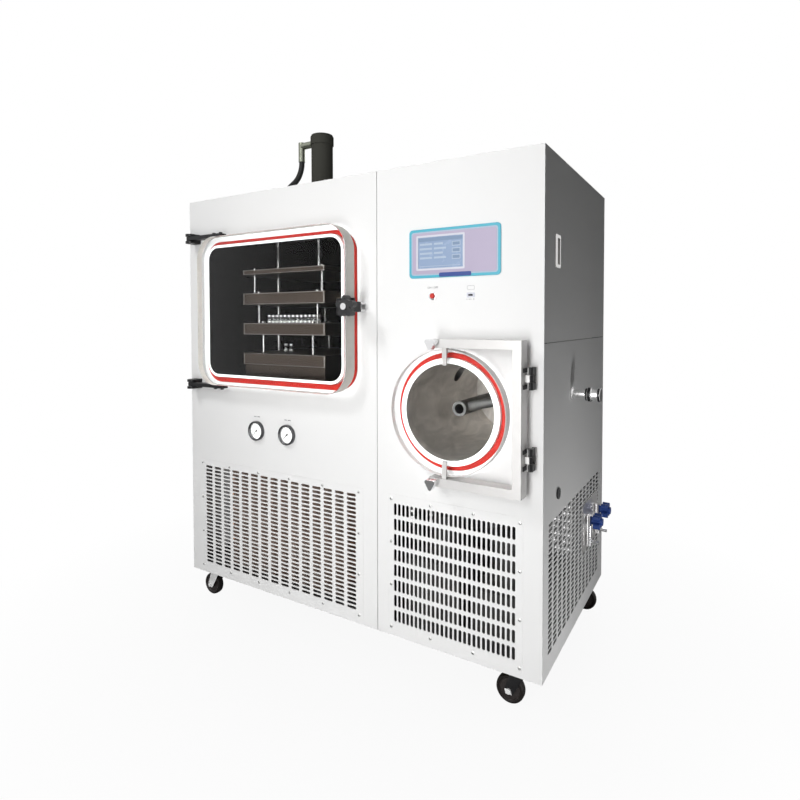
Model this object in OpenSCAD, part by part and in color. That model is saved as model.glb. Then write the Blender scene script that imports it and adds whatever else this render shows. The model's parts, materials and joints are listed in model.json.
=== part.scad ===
// Production freeze dryer on casters: a square drying chamber with hydraulic shelves in the left bay,
// a round cold trap in the right bay, and the refrigeration, vacuum and oil units below them.
// Frame: x runs to the right along the front, y runs back, z runs up from the floor.
// Pieces are laid out from the cabinet's lower left front corner, and place() moves them to the origin,
// which is on the floor under the middle of the machine's box.

/* [Cabinet] */
// Width of the left bay
left_w = 790; // [780:1:960]
// Width of the right bay
right_w = 475; // [465:1:600]
// Depth of the cabinet
body_d = 690; // [670:1:900]
// Height of the cabinet without its casters
body_h = 1300; // [1280:1:1600]
// Thickness of the sheet-metal panels
sheet = 2; // [1.5:0.5:3]
// Side of the square frame tubes
tube = 30; // [25:1:35]
// Wall of the frame tubes
tube_wall = 2; // [1.5:0.5:3]
// Open seam between neighbouring panels
seam = 1.5; // [1:0.1:3]
// How far the seam between the two right side panels is below the cabinet's top
side_seam_drop = 472; // [400:1:520]

/* [Casters] */
// Height of a caster from the floor to the cabinet
caster_h = 105; // [95:1:130]
// Radius of a caster wheel
wheel_r = 37.5; // [30:0.5:42]
// Width of a caster wheel
wheel_w = 24; // [18:1:30]
// Distance of a kingpin from the cabinet's side
caster_in_x = 70; // [60:1:120]
// Distance of a kingpin from the cabinet's front and back
caster_in_y = 55; // [50:1:120]
// How far a wheel trails behind its kingpin
caster_trail = 28; // [20:1:40]

/* [Drying chamber] */
// Width of the chamber mouth
mouth_w = 548; // [480:1:560]
// Height of the chamber mouth
mouth_h = 416; // [400:1:430]
// Corner radius of the chamber mouth
mouth_r = 40; // [20:1:60]
// Middle of the chamber mouth from the cabinet's left side
mouth_x = 416; // [400:1:440]
// Middle of the chamber mouth below the cabinet's top
mouth_drop = 384; // [370:1:420]
// Depth of the chamber
chamber_d = 490; // [460:1:520]
// Width of the rim around the chamber mouth
rim_w = 10; // [8:1:14]
// How far a rim stands in front of the cabinet
rim_out = 15; // [12:0.5:20]
// Mean width of the chamber's red gasket at its sides
gasket_w = 19; // [14:1:20]
// Mean width of the chamber's red gasket at its top and bottom
gasket_h = 14.5; // [12:0.5:18]
// Thickness of the red gaskets
gasket_t = 3.5; // [2:0.5:6]
// Thickness of the clear square door
door_t = 44; // [30:1:50]
// Wall of the chamber box
chamber_wall = 4; // [3:0.5:6]

/* [Shelves] */
// Width of a shelf
shelf_w = 350; // [300:1:360]
// Depth of a shelf
shelf_d = 400; // [350:1:410]
// Thickness of a shelf
shelf_t = 38; // [20:1:40]
// Open height between the shelves
shelf_gap = 62; // [60:1:70]
// Middle of the shelves from the cabinet's left side
shelf_x = 400; // [395:1:420]
// Thickness of the press plate
press_t = 16; // [10:1:20]
// Travel of the press plate
press_travel = 72; // [30:1:75]
// Radius of the hydraulic cylinder
cylinder_r = 37.5; // [32:0.5:45]
// Height of the hydraulic cylinder above the cabinet
cylinder_h = 233; // [200:1:260]

/* [Cold trap] */
// Radius of the trap mouth
trap_r = 125; // [115:1:130]
// Width of the rim around the trap mouth
trap_rim_w = 14; // [12:1:16]
// Width of the trap's red gasket
trap_gasket_w = 14; // [12:1:18]
// Middle of the trap from the seam between the bays
trap_in_x = 236; // [225:1:250]
// Middle of the trap below the cabinet's top
trap_drop = 652; // [640:1:680]
// Depth of the trap vessel
trap_d = 468; // [430:1:500]
// Thickness of the clear round door
disc_t = 30; // [20:1:36]
// Width of the door bracket's members
bracket_w = 22; // [18:1:26]
// Depth of the door bracket's members
bracket_d = 42; // [36:1:46]

/* [Vents] */
// Length of a vent slot
slot_l = 33; // [25:1:36]
// Width of a vent slot
slot_w = 8.5; // [6:0.5:9.5]
// Height of the front vent plates
vent_h = 388; // [300:1:400]
// Radius of a vent screw's head
screw_r = 4.5; // [3:0.5:6]

/* [Front controls] */
// Width of the operator panel
panel_w = 260; // [220:1:280]
// Height of the operator panel
panel_h = 129; // [110:1:150]
// Radius of a gauge bezel
gauge_r = 32; // [26:1:36]
// Distance between the two gauges
gauge_pitch = 132; // [90:1:150]

/* [Right side] */
// How far the vacuum port stands out
port_reach = 80; // [60:1:100]
// Radius of the drain hose tails
tail_r = 5; // [4:0.5:7]
// Distance between the two drain valves
valve_pitch = 120; // [90:1:130]

/* [Hidden] */
$fn = 64;

// Clearances
rest_gap = 0.3;
fit = 0.1;
loose = 0.3;
swing = 1.2;

// Cabinet
body_w = left_w + right_w;
star_front = 36;
front_reach = rim_out + rest_gap + door_t + star_front;
mid_x = (body_w + port_reach) / 2;
mid_y = (body_d - front_reach) / 2;
base_top = tube + sheet;
rear_in = body_d - sheet;
post_rear_y = rear_in - tube;
right_post_x = body_w - sheet - tube;
side_seam_z = body_h - side_seam_drop;
seam_post_x = left_w - tube / 2;

// Drying chamber
mouth_z = body_h - mouth_drop;
rim_outer_w = mouth_w + 2 * rim_w;
rim_outer_h = mouth_h + 2 * rim_w;
rim_outer_r = mouth_r + rim_w;
gasket_shift = [4, -3];
door_w = rim_outer_w + 49;
door_h = rim_outer_h + 52;
door_corner_r = rim_outer_r + 26;
door_back = -(rim_out + rest_gap);
door_front = door_back - door_t;
door_top = mouth_z + door_h / 2;
door_bottom = mouth_z - door_h / 2;
door_right = mouth_x + door_w / 2;
door_left = mouth_x - door_w / 2;
flange_t = 10;
room_side = 17;
room_w = mouth_w + 2 * room_side;
room_below = 28;
room_above = 26;
room_z0 = mouth_z - mouth_h / 2 - room_below;
room_z1 = mouth_z + mouth_h / 2 + room_above;
room_y0 = sheet + flange_t;
room_y1 = room_y0 + chamber_d;
room_x0 = mouth_x - room_w / 2;
room_x1 = mouth_x + room_w / 2;
chamber_top = room_z1 + chamber_wall;
chamber_bottom = room_z0 - chamber_wall;

// Shelves, from the bottom up, and the press plate over them
shelf_y0 = 55;
shelf_y1 = shelf_y0 + shelf_d;
shelf_mid_y = 243;
lower_z = room_z0 + 58;
middle_z = lower_z + shelf_t + shelf_gap;
upper_z = middle_z + shelf_t + shelf_gap;
press_z = upper_z + shelf_t + shelf_gap;
guide_r = 7;
guide_out = shelf_w / 2 + 17;
bolt_r = 4;
bolt_head_r = 7;
bolt_head_t = 6;
bolt_in = 30;
bolt_step = 19;
bolt_in_y = 25;
bolt_ys = [shelf_y0 + bolt_in_y, shelf_y1 - bolt_in_y];
ram_r = 9;
piston_r = 27;
piston_t = 18;
gland_t = 20;
ram_top = body_h + cylinder_h - 60;

// Door hinge, clamp and star knob
hinge_x = 40;
hinge_y = -30;
hinge_pin_r = 6;
arm_t = 12;
arm_half = 13;
arm_end = door_left + door_corner_r + 20;
ear_t = 8;
ear_gap = 2;
star_x = door_right + 18;
star_z = mouth_z + 6;
star_stud_r = 6;
star_r = 31;
star_t = 20;
lug_r = 15;
lug_out = 26;
stud_bite = 10;

// Cold trap, its door, bracket and clamps
trap_x = left_w + trap_in_x;
trap_z = body_h - trap_drop;
trap_rim_r = trap_r + trap_rim_w;
trap_gasket_r = trap_rim_r + trap_gasket_w;
disc_r = trap_rim_r + 23;
vessel_r = trap_r + 10;
vessel_wall = 4;
vessel_outer = vessel_r + vessel_wall;
trap_y0 = sheet + flange_t;
trap_y1 = trap_y0 + trap_d;
disc_back = -(rim_out + rest_gap);
disc_front = disc_back - disc_t;
disc_mid_y = disc_back - disc_t / 2;
pivot_r = 4;
bracket_back = -(rim_out - 2);
bracket_front = bracket_back - bracket_d;
bracket_half = disc_r + 4 + bracket_w;
trap_hinge_x = trap_x + 214;
trap_hinge_y = -24;
knuckle_r = 7;
knuckle_dz = 97;
hinge_half = 27;
bracket_right = trap_hinge_x - knuckle_r - 5;
bracket_left = trap_x - 42;
trap_knob_x = trap_x - 26;
trap_knob_dz = bracket_half - bracket_w / 2;
trap_stud_r = 4;
trap_socket_out = 12;
trap_bite = 7;
coil_r = 8;
coil_ring_r = vessel_outer + coil_r + rest_gap;
coil_ys = [120, 160, 200, 240, 360, 400, 440];
duct_r = 32;
duct_y = 300;
duct_z = trap_z + 72;
arm_tube_r = 13;

// Rails under the chamber and the trap
chamber_rail_z = chamber_bottom - tube;
chamber_rail_ys = [60, 420];
trap_rail_z = trap_z - coil_ring_r - coil_r - tube - 8;
trap_saddle_ys = [180, 380];
saddle_t = 16;

// Vents
vent_z0 = 12;
left_vent_x0 = 40;
left_vent_x1 = left_w - 50;
right_vent_x0 = left_w + 38;
right_vent_x1 = body_w - 49;
vent_margin = 30;
slot_pitch_l = 43.7;
slot_pitch_w = 12.8;
right_pitch_w = 13.2;
screw_in = 15;
right_screw_in = 8;
screw_t = 2;

// Front controls
panel_x = left_w + 237;
panel_z = body_h - 239.5;
panel_t = 3;
panel_r = 10;
button_x = left_w + 177;
button_z = body_h - 352;
button_r = 7;
button_travel = 3;
plug_x = left_w + 286;
gauge_x = mouth_x - 29;
gauge_z = (mouth_z - door_h / 2 + 3 + vent_z0 + vent_h) / 2 - 12;
needle_len = 20;

// Right side
side_slot_y0 = 48;
side_slot_z0 = 50;
side_vent_h = 334;
valve_plate_y0 = 400;
valve_plate_w = 200;
valve_plate_z0 = 178;
valve_plate_h = 147;
valve_plate_t = 3;
handle_z = 272;
tail_z = 205;
tail_len = 21;
valve_r = 8;
stem_x = body_w + valve_plate_t + valve_r + 1;
handle_r = 11;
handle_t = 32;
port_y = 255;
port_z = body_h - 619;
port_r = 11;
pull_y = 112;
pull_z = body_h - 242;
pull_w = 46;
pull_h = 84;
lock_y = 128;
lock_z = 436;
lock_r = 15;
cam_x = right_post_x - 5.5;

// Route of the hydraulic hose, as x from the cylinder and z from the cabinet's top
hose_d = 20;
hose_points = [[-93, 155], [-93, 152], [-94.5, 137], [-98.5, 123], [-105, 109.5], [-114, 97.5], [-125.5, 87.5],
    [-138, 80], [-150.5, 72.5], [-162, 62.5], [-171, 50.5], [-177.5, 37], [-181.5, 23], [-183, 8], [-183, 5]];
hose_route = [for (p = hose_points) [shelf_x + p[0], shelf_mid_y, body_h + p[1]]];
hose_end = hose_route[len(hose_route) - 1];
elbow_r = 12;
elbow_z = body_h + cylinder_h - 22;
// Route of the upper shelf's hose, from the middle of the shelf's right edge
shelf_hose_d = 12;
shelf_hose_gland = 8;
shelf_hose_start = [shelf_x + shelf_w / 2, 150, upper_z + shelf_t / 2];
shelf_hose_points = [[8, 0, 0], [12, 0, 0], [28, 2.5, 0.5], [42, 9.5, 2.5], [53.5, 20, 6], [61, 33.5, 10],
    [64, 42, 12], [67, 50, 14.5], [70, 58, 17], [73, 66, 19.5], [80.5, 80, 23.5], [92, 90.5, 26.5],
    [106, 97.5, 28.5], [122, 100, 29], [126, 100, 29]];
shelf_hose_route = [for (p = shelf_hose_points) shelf_hose_start + p];
shelf_hose_end = shelf_hose_route[len(shelf_hose_route) - 1];
hose_sides = 10;

// Casters
plate_t = 4;
kingpin_r = 6;
leg_t = 3;
leg_gap = 3;
axle_r = 4;
fork_top = -plate_t - 1;
axle_z = wheel_r - caster_h;

// Vials
vial_pitch = 17.6;
vial_count = 13;
vial_row_x = shelf_x - 98;
vial_row_y = shelf_y0 + 45;

// Units inside the cabinet
comp_r = 90;
comp_h = 230;
comp_foot = 20;
comp_xs = [170, 390];
receiver_x = 540;
dryer_x = 640;
fan_x = 400;
fan_z = 216;
fan_r = 130;
fan_hub_r = 30;
fan_hub_t = 18;
fan_shaft_r = 5;
block_y0 = 50;
block_y1 = 110;
block_h = 350;
shroud_y1 = 150;
gland_x = left_w + 120;
gland_z = body_h - 420;
inlet_r = 15;

// ---------- shared shapes ----------

module place() {
    translate([-mid_x, -mid_y, caster_h])
        children();
}

// A flat shape drawn in x and z, as thick as y0 to y1
module plate_y(y0, y1) {
    translate([0, y1, 0])
        rotate([90, 0, 0])
            linear_extrude(y1 - y0)
                children();
}

// A flat shape drawn in y and z, as thick as x0 to x1
module plate_x(x0, x1) {
    translate([x0, 0, 0])
        rotate([90, 0, 90])
            linear_extrude(x1 - x0)
                children();
}

module block(x0, x1, y0, y1, z0, z1) {
    translate([x0, y0, z0])
        cube([x1 - x0, y1 - y0, z1 - z0]);
}

module rod_x(x0, x1, y, z, r) {
    translate([x0, y, z])
        rotate([0, 90, 0])
            cylinder(r = r, h = x1 - x0);
}

module rod_y(x, y0, y1, z, r) {
    translate([x, y1, z])
        rotate([90, 0, 0])
            cylinder(r = r, h = y1 - y0);
}

module rod_z(x, y, z0, z1, r) {
    translate([x, y, z0])
        cylinder(r = r, h = z1 - z0);
}

// A turned shape: its profile is drawn as radius and distance along y
module turned_y(x, y, z) {
    translate([x, y, z])
        rotate([-90, 0, 0])
            rotate_extrude($fn = 96)
                children();
}

module rounded(w, h, r) {
    square([w - 2 * r, h], center = true);
    square([w, h - 2 * r], center = true);
    for (x = [-1, 1])
        for (y = [-1, 1])
            translate([x * (w / 2 - r), y * (h / 2 - r)])
                circle(r);
}

module tube_x(x0, x1, y, z) {
    difference() {
        block(x0, x1, y, y + tube, z, z + tube);
        block(x0 - 1, x1 + 1, y + tube_wall, y + tube - tube_wall, z + tube_wall, z + tube - tube_wall);
    }
}

module tube_y(x, y0, y1, z) {
    difference() {
        block(x, x + tube, y0, y1, z, z + tube);
        block(x + tube_wall, x + tube - tube_wall, y0 - 1, y1 + 1, z + tube_wall, z + tube - tube_wall);
    }
}

module tube_z(x, y, z0, z1) {
    difference() {
        block(x, x + tube, y, y + tube, z0, z1);
        block(x + tube_wall, x + tube - tube_wall, y + tube_wall, y + tube - tube_wall, z0 - 1, z1 + 1);
    }
}

// A slot with round ends, sx long and sy high or the other way round
module slot(sx, sy) {
    r = min(sx, sy) / 2;
    dx = sx / 2 - r;
    dy = sy / 2 - r;
    square([max(2 * dx, 2 * r * sign(dy)), max(2 * dy, 2 * r * sign(dx))], center = true);
    for (s = [-1, 1])
        translate([s * dx, s * dy])
            circle(r, $fn = 24);
}

// Slots in as many columns and rows as fit in a w by h field whose lower left corner is the origin
module slot_field(w, h, sx, sy, pitch_x, pitch_y) {
    for (x = [0 : pitch_x : w - sx])
        for (y = [0 : pitch_y : h - sy])
            translate([x + sx / 2, y + sy / 2])
                slot(sx, sy);
}

// A tube of the given diameter along a list of points
function unit(v) = v / norm(v);
function along(p, i) = unit(p[min(i + 1, len(p) - 1)] - p[max(i - 1, 0)]);
function ring_at(p, i, d, side) =
    let (
        t = along(p, i),
        u = unit(cross(t, side)),
        v = cross(t, u)
    )
    [for (k = [0 : hose_sides - 1])
        let (a = 360 * k / hose_sides)
        p[i] + d / 2 * (cos(a) * u + sin(a) * v)];
function flat(lists) = [for (a = lists) for (b = a) b];

module hose(route, d, side) {
    n = len(route);
    s = hose_sides;
    points = flat([for (i = [0 : n - 1]) ring_at(route, i, d, side)]);
    walls = flat([for (i = [0 : n - 2])
        flat([for (k = [0 : s - 1])
            let (a = i * s + k, b = i * s + (k + 1) % s)
            [[a, b, b + s], [a, b + s, a + s]]])]);
    caps = [[for (k = [s - 1 : -1 : 0]) k], [for (k = [0 : s - 1]) (n - 1) * s + k]];
    polyhedron(points, concat(walls, caps));
}

// ---------- frame and panels ----------

module cabinet_frame() {
    color("gainsboro")
        place() {
            // Base and top rectangles, posts between them
            for (z = [0, body_h - sheet - tube]) {
                for (y = [sheet, post_rear_y])
                    tube_x(sheet, body_w - sheet, y, z);
                for (x = [sheet, seam_post_x, right_post_x])
                    tube_y(x, sheet + tube, post_rear_y, z);
            }
            for (x = [sheet, seam_post_x, right_post_x])
                for (y = [sheet, post_rear_y])
                    tube_z(x, y, tube, body_h - sheet - tube);
            // Base sheet, lying on the base tubes
            block(sheet + tube / 2, body_w - sheet - tube / 2,
                sheet + tube / 2, rear_in - tube / 2, tube, base_top);
            // Rails that carry the drying chamber
            for (x = [sheet, seam_post_x])
                tube_y(x, sheet + tube, post_rear_y, chamber_rail_z);
            for (y = chamber_rail_ys)
                tube_x(sheet + tube, seam_post_x, y, chamber_rail_z);
            // Rails and saddles that carry the cold trap
            for (x = [seam_post_x, right_post_x])
                tube_y(x, sheet + tube, post_rear_y, trap_rail_z);
            for (y = trap_saddle_ys) {
                tube_x(seam_post_x + tube, right_post_x, y - tube / 2, trap_rail_z);
                trap_saddle(y);
            }
            for (i = [0 : 3])
                caster_plate(i);
        }
}

module trap_saddle(y) {
    difference() {
        block(trap_x - 40, trap_x + 40, y - saddle_t / 2, y + saddle_t / 2, trap_rail_z + tube,
            trap_z - vessel_outer + 19);
        rod_y(trap_x, y - saddle_t, y + saddle_t, trap_z, vessel_outer + rest_gap);
    }
}

// The four kingpins: 0 and 1 at the front, 2 and 3 at the back
function caster_x(i) = i % 2 == 0 ? caster_in_x : body_w - caster_in_x;
function caster_y(i) = i < 2 ? caster_in_y : body_d - caster_in_y;
function caster_turn(i) = i < 2 ? 180 : 0;

module caster_plate(i) {
    translate([caster_x(i), caster_y(i), -plate_t])
        difference() {
            translate([-45, -35, 0])
                cube([90, 70, plate_t]);
            translate([0, 0, -1])
                cylinder(r = kingpin_r + fit, h = plate_t + 2);
        }
}

module left_front_panel() {
    color("white")
        place()
            plate_y(0, sheet)
                difference() {
                    square([left_w - seam / 2, body_h]);
                    translate([mouth_x, mouth_z])
                        rounded(rim_outer_w + 1, rim_outer_h + 1, rim_outer_r + 0.5);
                    vent_outline(left_vent_x0, left_vent_x1);
                    for (s = [-1, 1])
                        translate([gauge_x + s * gauge_pitch / 2, gauge_z])
                            circle(gauge_r - 4);
                }
}

module right_front_panel() {
    color("white")
        place()
            plate_y(0, sheet)
                difference() {
                    translate([left_w + seam / 2, 0])
                        square([right_w - seam / 2, body_h]);
                    translate([trap_x, trap_z])
                        circle(trap_rim_r + 0.5);
                    vent_outline(right_vent_x0, right_vent_x1);
                    translate([panel_x, panel_z])
                        square([panel_w - 20, panel_h - 20], center = true);
                    translate([button_x, button_z])
                        circle(button_r + 2);
                    translate([plug_x, button_z])
                        square([16, 7], center = true);
                }
}

module vent_outline(x0, x1) {
    translate([x0, vent_z0])
        square([x1 - x0, vent_h]);
}

module left_vent_plate() {
    field_w = left_vent_x1 - left_vent_x0 - 2 * vent_margin;
    field_h = vent_h - 40;
    color("white")
        place()
            plate_y(0, sheet)
                difference() {
                    vent_outline(left_vent_x0, left_vent_x1);
                    translate([left_vent_x0 + vent_margin, vent_z0 + 26])
                        slot_field(field_w + 6, field_h, slot_l, slot_w, slot_pitch_l, slot_pitch_w);
                }
}

module right_vent_plate() {
    field_w = right_vent_x1 - right_vent_x0 - 38;
    field_h = vent_h - 40;
    color("white")
        place()
            plate_y(0, sheet)
                difference() {
                    vent_outline(right_vent_x0, right_vent_x1);
                    translate([right_vent_x0 + 17, vent_z0 + 29])
                        slot_field(field_w + 6, field_h, slot_w, slot_l, right_pitch_w, slot_pitch_l - 0.7);
                }
}

module left_side_panel() {
    color("white")
        place()
            plate_x(0, sheet)
                translate([sheet, 0])
                    square([body_d - 2 * sheet, body_h - sheet]);
}

module right_upper_panel() {
    color("white")
        place()
            plate_x(body_w - sheet, body_w)
                difference() {
                    translate([sheet, side_seam_z + seam / 2])
                        square([body_d - 2 * sheet, body_h - sheet - side_seam_z - seam / 2]);
                    translate([pull_y, pull_z])
                        square([pull_w - 8, pull_h - 8], center = true);
                }
}

module right_lower_panel() {
    color("white")
        place()
            plate_x(body_w - sheet, body_w)
                difference() {
                    translate([sheet, 0])
                        square([body_d - 2 * sheet, side_seam_z - seam / 2]);
                    translate([side_slot_y0, side_slot_z0])
                        slot_field(body_d - 2 * side_slot_y0, side_vent_h, slot_l, slot_w,
                            slot_pitch_l + 1.5, slot_pitch_w);
                    translate([lock_y, lock_z])
                        circle(lock_r / 2 + fit);
                    translate([port_y, port_z])
                        circle(port_r + fit);
                }
}

module top_and_rear_panels() {
    color("white")
        place() {
            difference() {
                block(0, left_w - seam / 2, sheet, body_d, body_h - sheet, body_h);
                rod_z(shelf_x, shelf_mid_y, body_h - 2 * sheet, body_h + 1, cylinder_r + 3);
                rod_z(hose_end[0], hose_end[1], body_h - 2 * sheet, body_h + 1, 8);
            }
            block(left_w + seam / 2, body_w, sheet, body_d, body_h - sheet, body_h);
            plate_y(rear_in, body_d)
                difference() {
                    square([left_w - seam / 2, body_h - sheet]);
                    translate([100, 60])
                        slot_field(left_w - 200, 300, slot_l, slot_w, slot_pitch_l, 2 * slot_pitch_w);
                }
            plate_y(rear_in, body_d)
                difference() {
                    translate([left_w + seam / 2, 0])
                        square([right_w - seam / 2, body_h - sheet]);
                    translate([left_w + 80, 60])
                        slot_field(right_w - 160, 300, slot_l, slot_w, slot_pitch_l, 2 * slot_pitch_w);
                    translate([gland_x, gland_z])
                        circle(inlet_r + 2);
                }
        }
}

// Screws around a vent plate, nx across and nz up, the outer ones in_x from its sides
module screw_border(x0, x1, nx, nz, in_x) {
    dx = (x1 - x0 - 2 * in_x) / (nx - 1);
    dz = (vent_h - 2 * screw_in + 4) / (nz - 1);
    for (i = [0 : nx - 1])
        for (k = [0 : nz - 1])
            if (i == 0 || i == nx - 1 || k == 0 || k == nz - 1)
                rod_y(x0 + in_x + i * dx, -screw_t, 0, vent_z0 + screw_in - 2 + k * dz, screw_r);
}

module panel_screws() {
    color("silver")
        place() {
            screw_border(left_vent_x0, left_vent_x1, 6, 4, screw_in);
            screw_border(right_vent_x0, right_vent_x1, 4, 4, right_screw_in);
        }
}

module side_pull_handle() {
    color("silver")
        place()
            difference() {
                union() {
                    plate_x(body_w, body_w + 2)
                        translate([pull_y, pull_z])
                            rounded(pull_w, pull_h, 6);
                    plate_x(body_w - 16, body_w)
                        translate([pull_y, pull_z])
                            square([pull_w - 9, pull_h - 9], center = true);
                }
                plate_x(body_w - 14, body_w + 3)
                    translate([pull_y + 6, pull_z])
                        square([pull_w - 24, pull_h - 18], center = true);
            }
}

module side_lock() {
    color("black")
        place() {
            difference() {
                union() {
                    rod_x(body_w + rest_gap, body_w + 4, lock_y, lock_z, lock_r);
                    rod_x(cam_x, body_w + rest_gap, lock_y, lock_z, lock_r / 2);
                    block(cam_x, cam_x + 4, lock_y - 8, lock_y + 8, lock_z - 8, lock_z + 34);
                }
                block(body_w + 2.5, body_w + 5, lock_y - 1.5, lock_y + 1.5, lock_z - 10, lock_z + 10);
            }
        }
}

// ---------- drying chamber ----------

module drying_chamber() {
    color("lightgray") {
        place()
            difference() {
                union() {
                    plate_y(-rim_out, sheet)
                        translate([mouth_x, mouth_z])
                            rounded(rim_outer_w, rim_outer_h, rim_outer_r);
                    block(room_x0 - chamber_wall - 6, room_x1 + chamber_wall + 6, sheet, room_y0,
                        chamber_bottom, chamber_top);
                    block(room_x0 - chamber_wall, room_x1 + chamber_wall, room_y0, room_y1 + chamber_wall,
                        chamber_bottom, chamber_top);
                }
                plate_y(-rim_out - 1, room_y0 + 1)
                    translate([mouth_x, mouth_z])
                        rounded(mouth_w, mouth_h, mouth_r);
                block(room_x0, room_x1, room_y0, room_y1, room_z0, room_z1);
                rod_z(shelf_x, shelf_mid_y, room_z1 - 1, chamber_top + 1, ram_r + 2);
                rod_x(room_x1 - 1, room_x1 + chamber_wall + 1, duct_y, duct_z, duct_r - 3);
            }
        place()
            rod_x(shelf_hose_end[0], room_x1 + 1, shelf_hose_end[1], shelf_hose_end[2], shelf_hose_gland);
    }
}

module chamber_gasket() {
    color("firebrick")
        place()
            plate_y(-gasket_t, 0)
                translate([mouth_x, mouth_z])
                    difference() {
                        translate(gasket_shift)
                            rounded(rim_outer_w + 2 * gasket_w, rim_outer_h + 2 * gasket_h,
                                rim_outer_r + gasket_h);
                        rounded(rim_outer_w + 1, rim_outer_h + 1, rim_outer_r + 0.5);
                    }
}

module hydraulic_cylinder() {
    color("black")
        place() {
            difference() {
                union() {
                    block(shelf_x - 60, shelf_x + 60, shelf_mid_y - 60, shelf_mid_y + 60,
                        chamber_top, chamber_top + 16);
                    rod_z(shelf_x, shelf_mid_y, chamber_top + 16, body_h + cylinder_h, cylinder_r);
                    rod_z(shelf_x, shelf_mid_y, elbow_z - elbow_r, elbow_z + elbow_r + 4, cylinder_r + 3);
                }
                rod_z(shelf_x, shelf_mid_y, chamber_top - 1, chamber_top + gland_t + 1, ram_r + fit);
                rod_z(shelf_x, shelf_mid_y, chamber_top + gland_t, body_h + cylinder_h - 30, piston_r + fit);
            }
            cylinder_elbow(hose_route[0]);
            // Gland on the top panel for the hose's lower end
            rod_z(hose_end[0], hose_end[1], body_h, hose_end[2], 15);
        }
}

// Elbow at the cylinder's head, down to the hose's upper end
module cylinder_elbow(p) {
    rod_z(p[0], p[1], p[2], elbow_z + elbow_r, elbow_r);
    difference() {
        rod_x(p[0], shelf_x, p[1], elbow_z, elbow_r);
        rod_z(shelf_x, shelf_mid_y, elbow_z - 20, elbow_z + 20, cylinder_r + 3);
    }
}

module hydraulic_hose() {
    color("dimgray")
        place()
            hose(hose_route, hose_d, [0, 1, 0]);
}

// Where the hanging bolts of one gap stand: level 0 is the lowest gap
function bolt_xs(level) =
    let (off = shelf_w / 2 - bolt_in - (2 - level) * bolt_step)
    [shelf_x - off, shelf_x + off];

module bolt_holes(level, z0, z1) {
    for (x = bolt_xs(level))
        for (y = bolt_ys)
            rod_z(x, y, z0 - 1, z1 + 1, bolt_r + loose);
}

// Bolts fixed in a shelf's top, which hang it from the plate above, t thick
module hanging_bolts(level, z, t) {
    for (x = bolt_xs(level))
        for (y = bolt_ys) {
            rod_z(x, y, z, z + shelf_gap + t + rest_gap, bolt_r);
            rod_z(x, y, z + shelf_gap + t + rest_gap, z + shelf_gap + t + bolt_head_t, bolt_head_r);
        }
}

module guide_ears(z, t) {
    for (s = [-1, 1])
        difference() {
            block(min(shelf_x + s * (shelf_w / 2 - 1), shelf_x + s * (guide_out + 14)),
                max(shelf_x + s * (shelf_w / 2 - 1), shelf_x + s * (guide_out + 14)),
                shelf_mid_y - 22, shelf_mid_y + 22, z, z + t);
            rod_z(shelf_x + s * guide_out, shelf_mid_y, z - 1, z + t + 1, guide_r + fit);
        }
}

module shelf_plate(z, t) {
    block(shelf_x - shelf_w / 2, shelf_x + shelf_w / 2, shelf_y0, shelf_y1, z, z + t);
}

module shelf_lower() {
    color("silver")
        place() {
            shelf_plate(lower_z, shelf_t);
            block(shelf_x - shelf_w / 2 + 4, shelf_x + shelf_w / 2 - 4, shelf_y0 + 4, shelf_y1 - 4,
                room_z0, lower_z);
            hanging_bolts(0, lower_z + shelf_t, shelf_t);
            for (s = [-1, 1])
                rod_z(shelf_x + s * guide_out, shelf_mid_y, room_z0, room_z1, guide_r);
        }
}

module shelf_middle() {
    color("silver")
        place() {
            difference() {
                union() {
                    shelf_plate(middle_z, shelf_t);
                    guide_ears(middle_z, 16);
                    hanging_bolts(1, middle_z + shelf_t, shelf_t);
                }
                bolt_holes(0, middle_z, middle_z + shelf_t);
            }
        }
}

module shelf_upper() {
    color("silver")
        place() {
            difference() {
                union() {
                    shelf_plate(upper_z, shelf_t);
                    guide_ears(upper_z, 16);
                    hanging_bolts(2, upper_z + shelf_t, press_t);
                    rod_x(shelf_hose_start[0] - 1, shelf_hose_route[0][0],
                        shelf_hose_start[1], shelf_hose_start[2], shelf_hose_gland);
                }
                bolt_holes(1, upper_z, upper_z + shelf_t);
            }
        }
}

module press_ram() {
    color("silver")
        place()
            difference() {
                union() {
                    shelf_plate(press_z, press_t);
                    guide_ears(press_z, press_t);
                    rod_z(shelf_x, shelf_mid_y, press_z, press_z + press_t + 8, 34);
                    rod_z(shelf_x, shelf_mid_y, press_z, ram_top, ram_r);
                    rod_z(shelf_x, shelf_mid_y, ram_top - piston_t, ram_top, piston_r);
                }
                bolt_holes(2, press_z, press_z + press_t);
            }
}

module vial(x, y, z) {
    translate([x, y, z])
        rotate_extrude($fn = 32)
            polygon([[0, 0], [8, 0], [8, 15], [5, 19], [5, 21], [6, 21], [6, 27], [0, 27]]);
}

module vials_middle() {
    color("aliceblue")
        place()
            for (i = [0 : vial_count - 1])
                vial(vial_row_x + i * vial_pitch, vial_row_y, middle_z + shelf_t);
}

module vials_lower() {
    color("aliceblue")
        place()
            for (x = [shelf_x - 109, shelf_x - 84])
                vial(x, shelf_y0 + 135, lower_z + shelf_t);
}

module shelf_hose() {
    color("lightgray")
        place()
            hose(shelf_hose_route, shelf_hose_d, [0, 0, 1]);
}

// ---------- square door ----------

module chamber_door() {
    color("lightcyan", 0.4)
        place()
            plate_y(door_front, door_back)
                translate([mouth_x, mouth_z])
                    rounded(door_w, door_h, door_corner_r);
}

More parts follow.
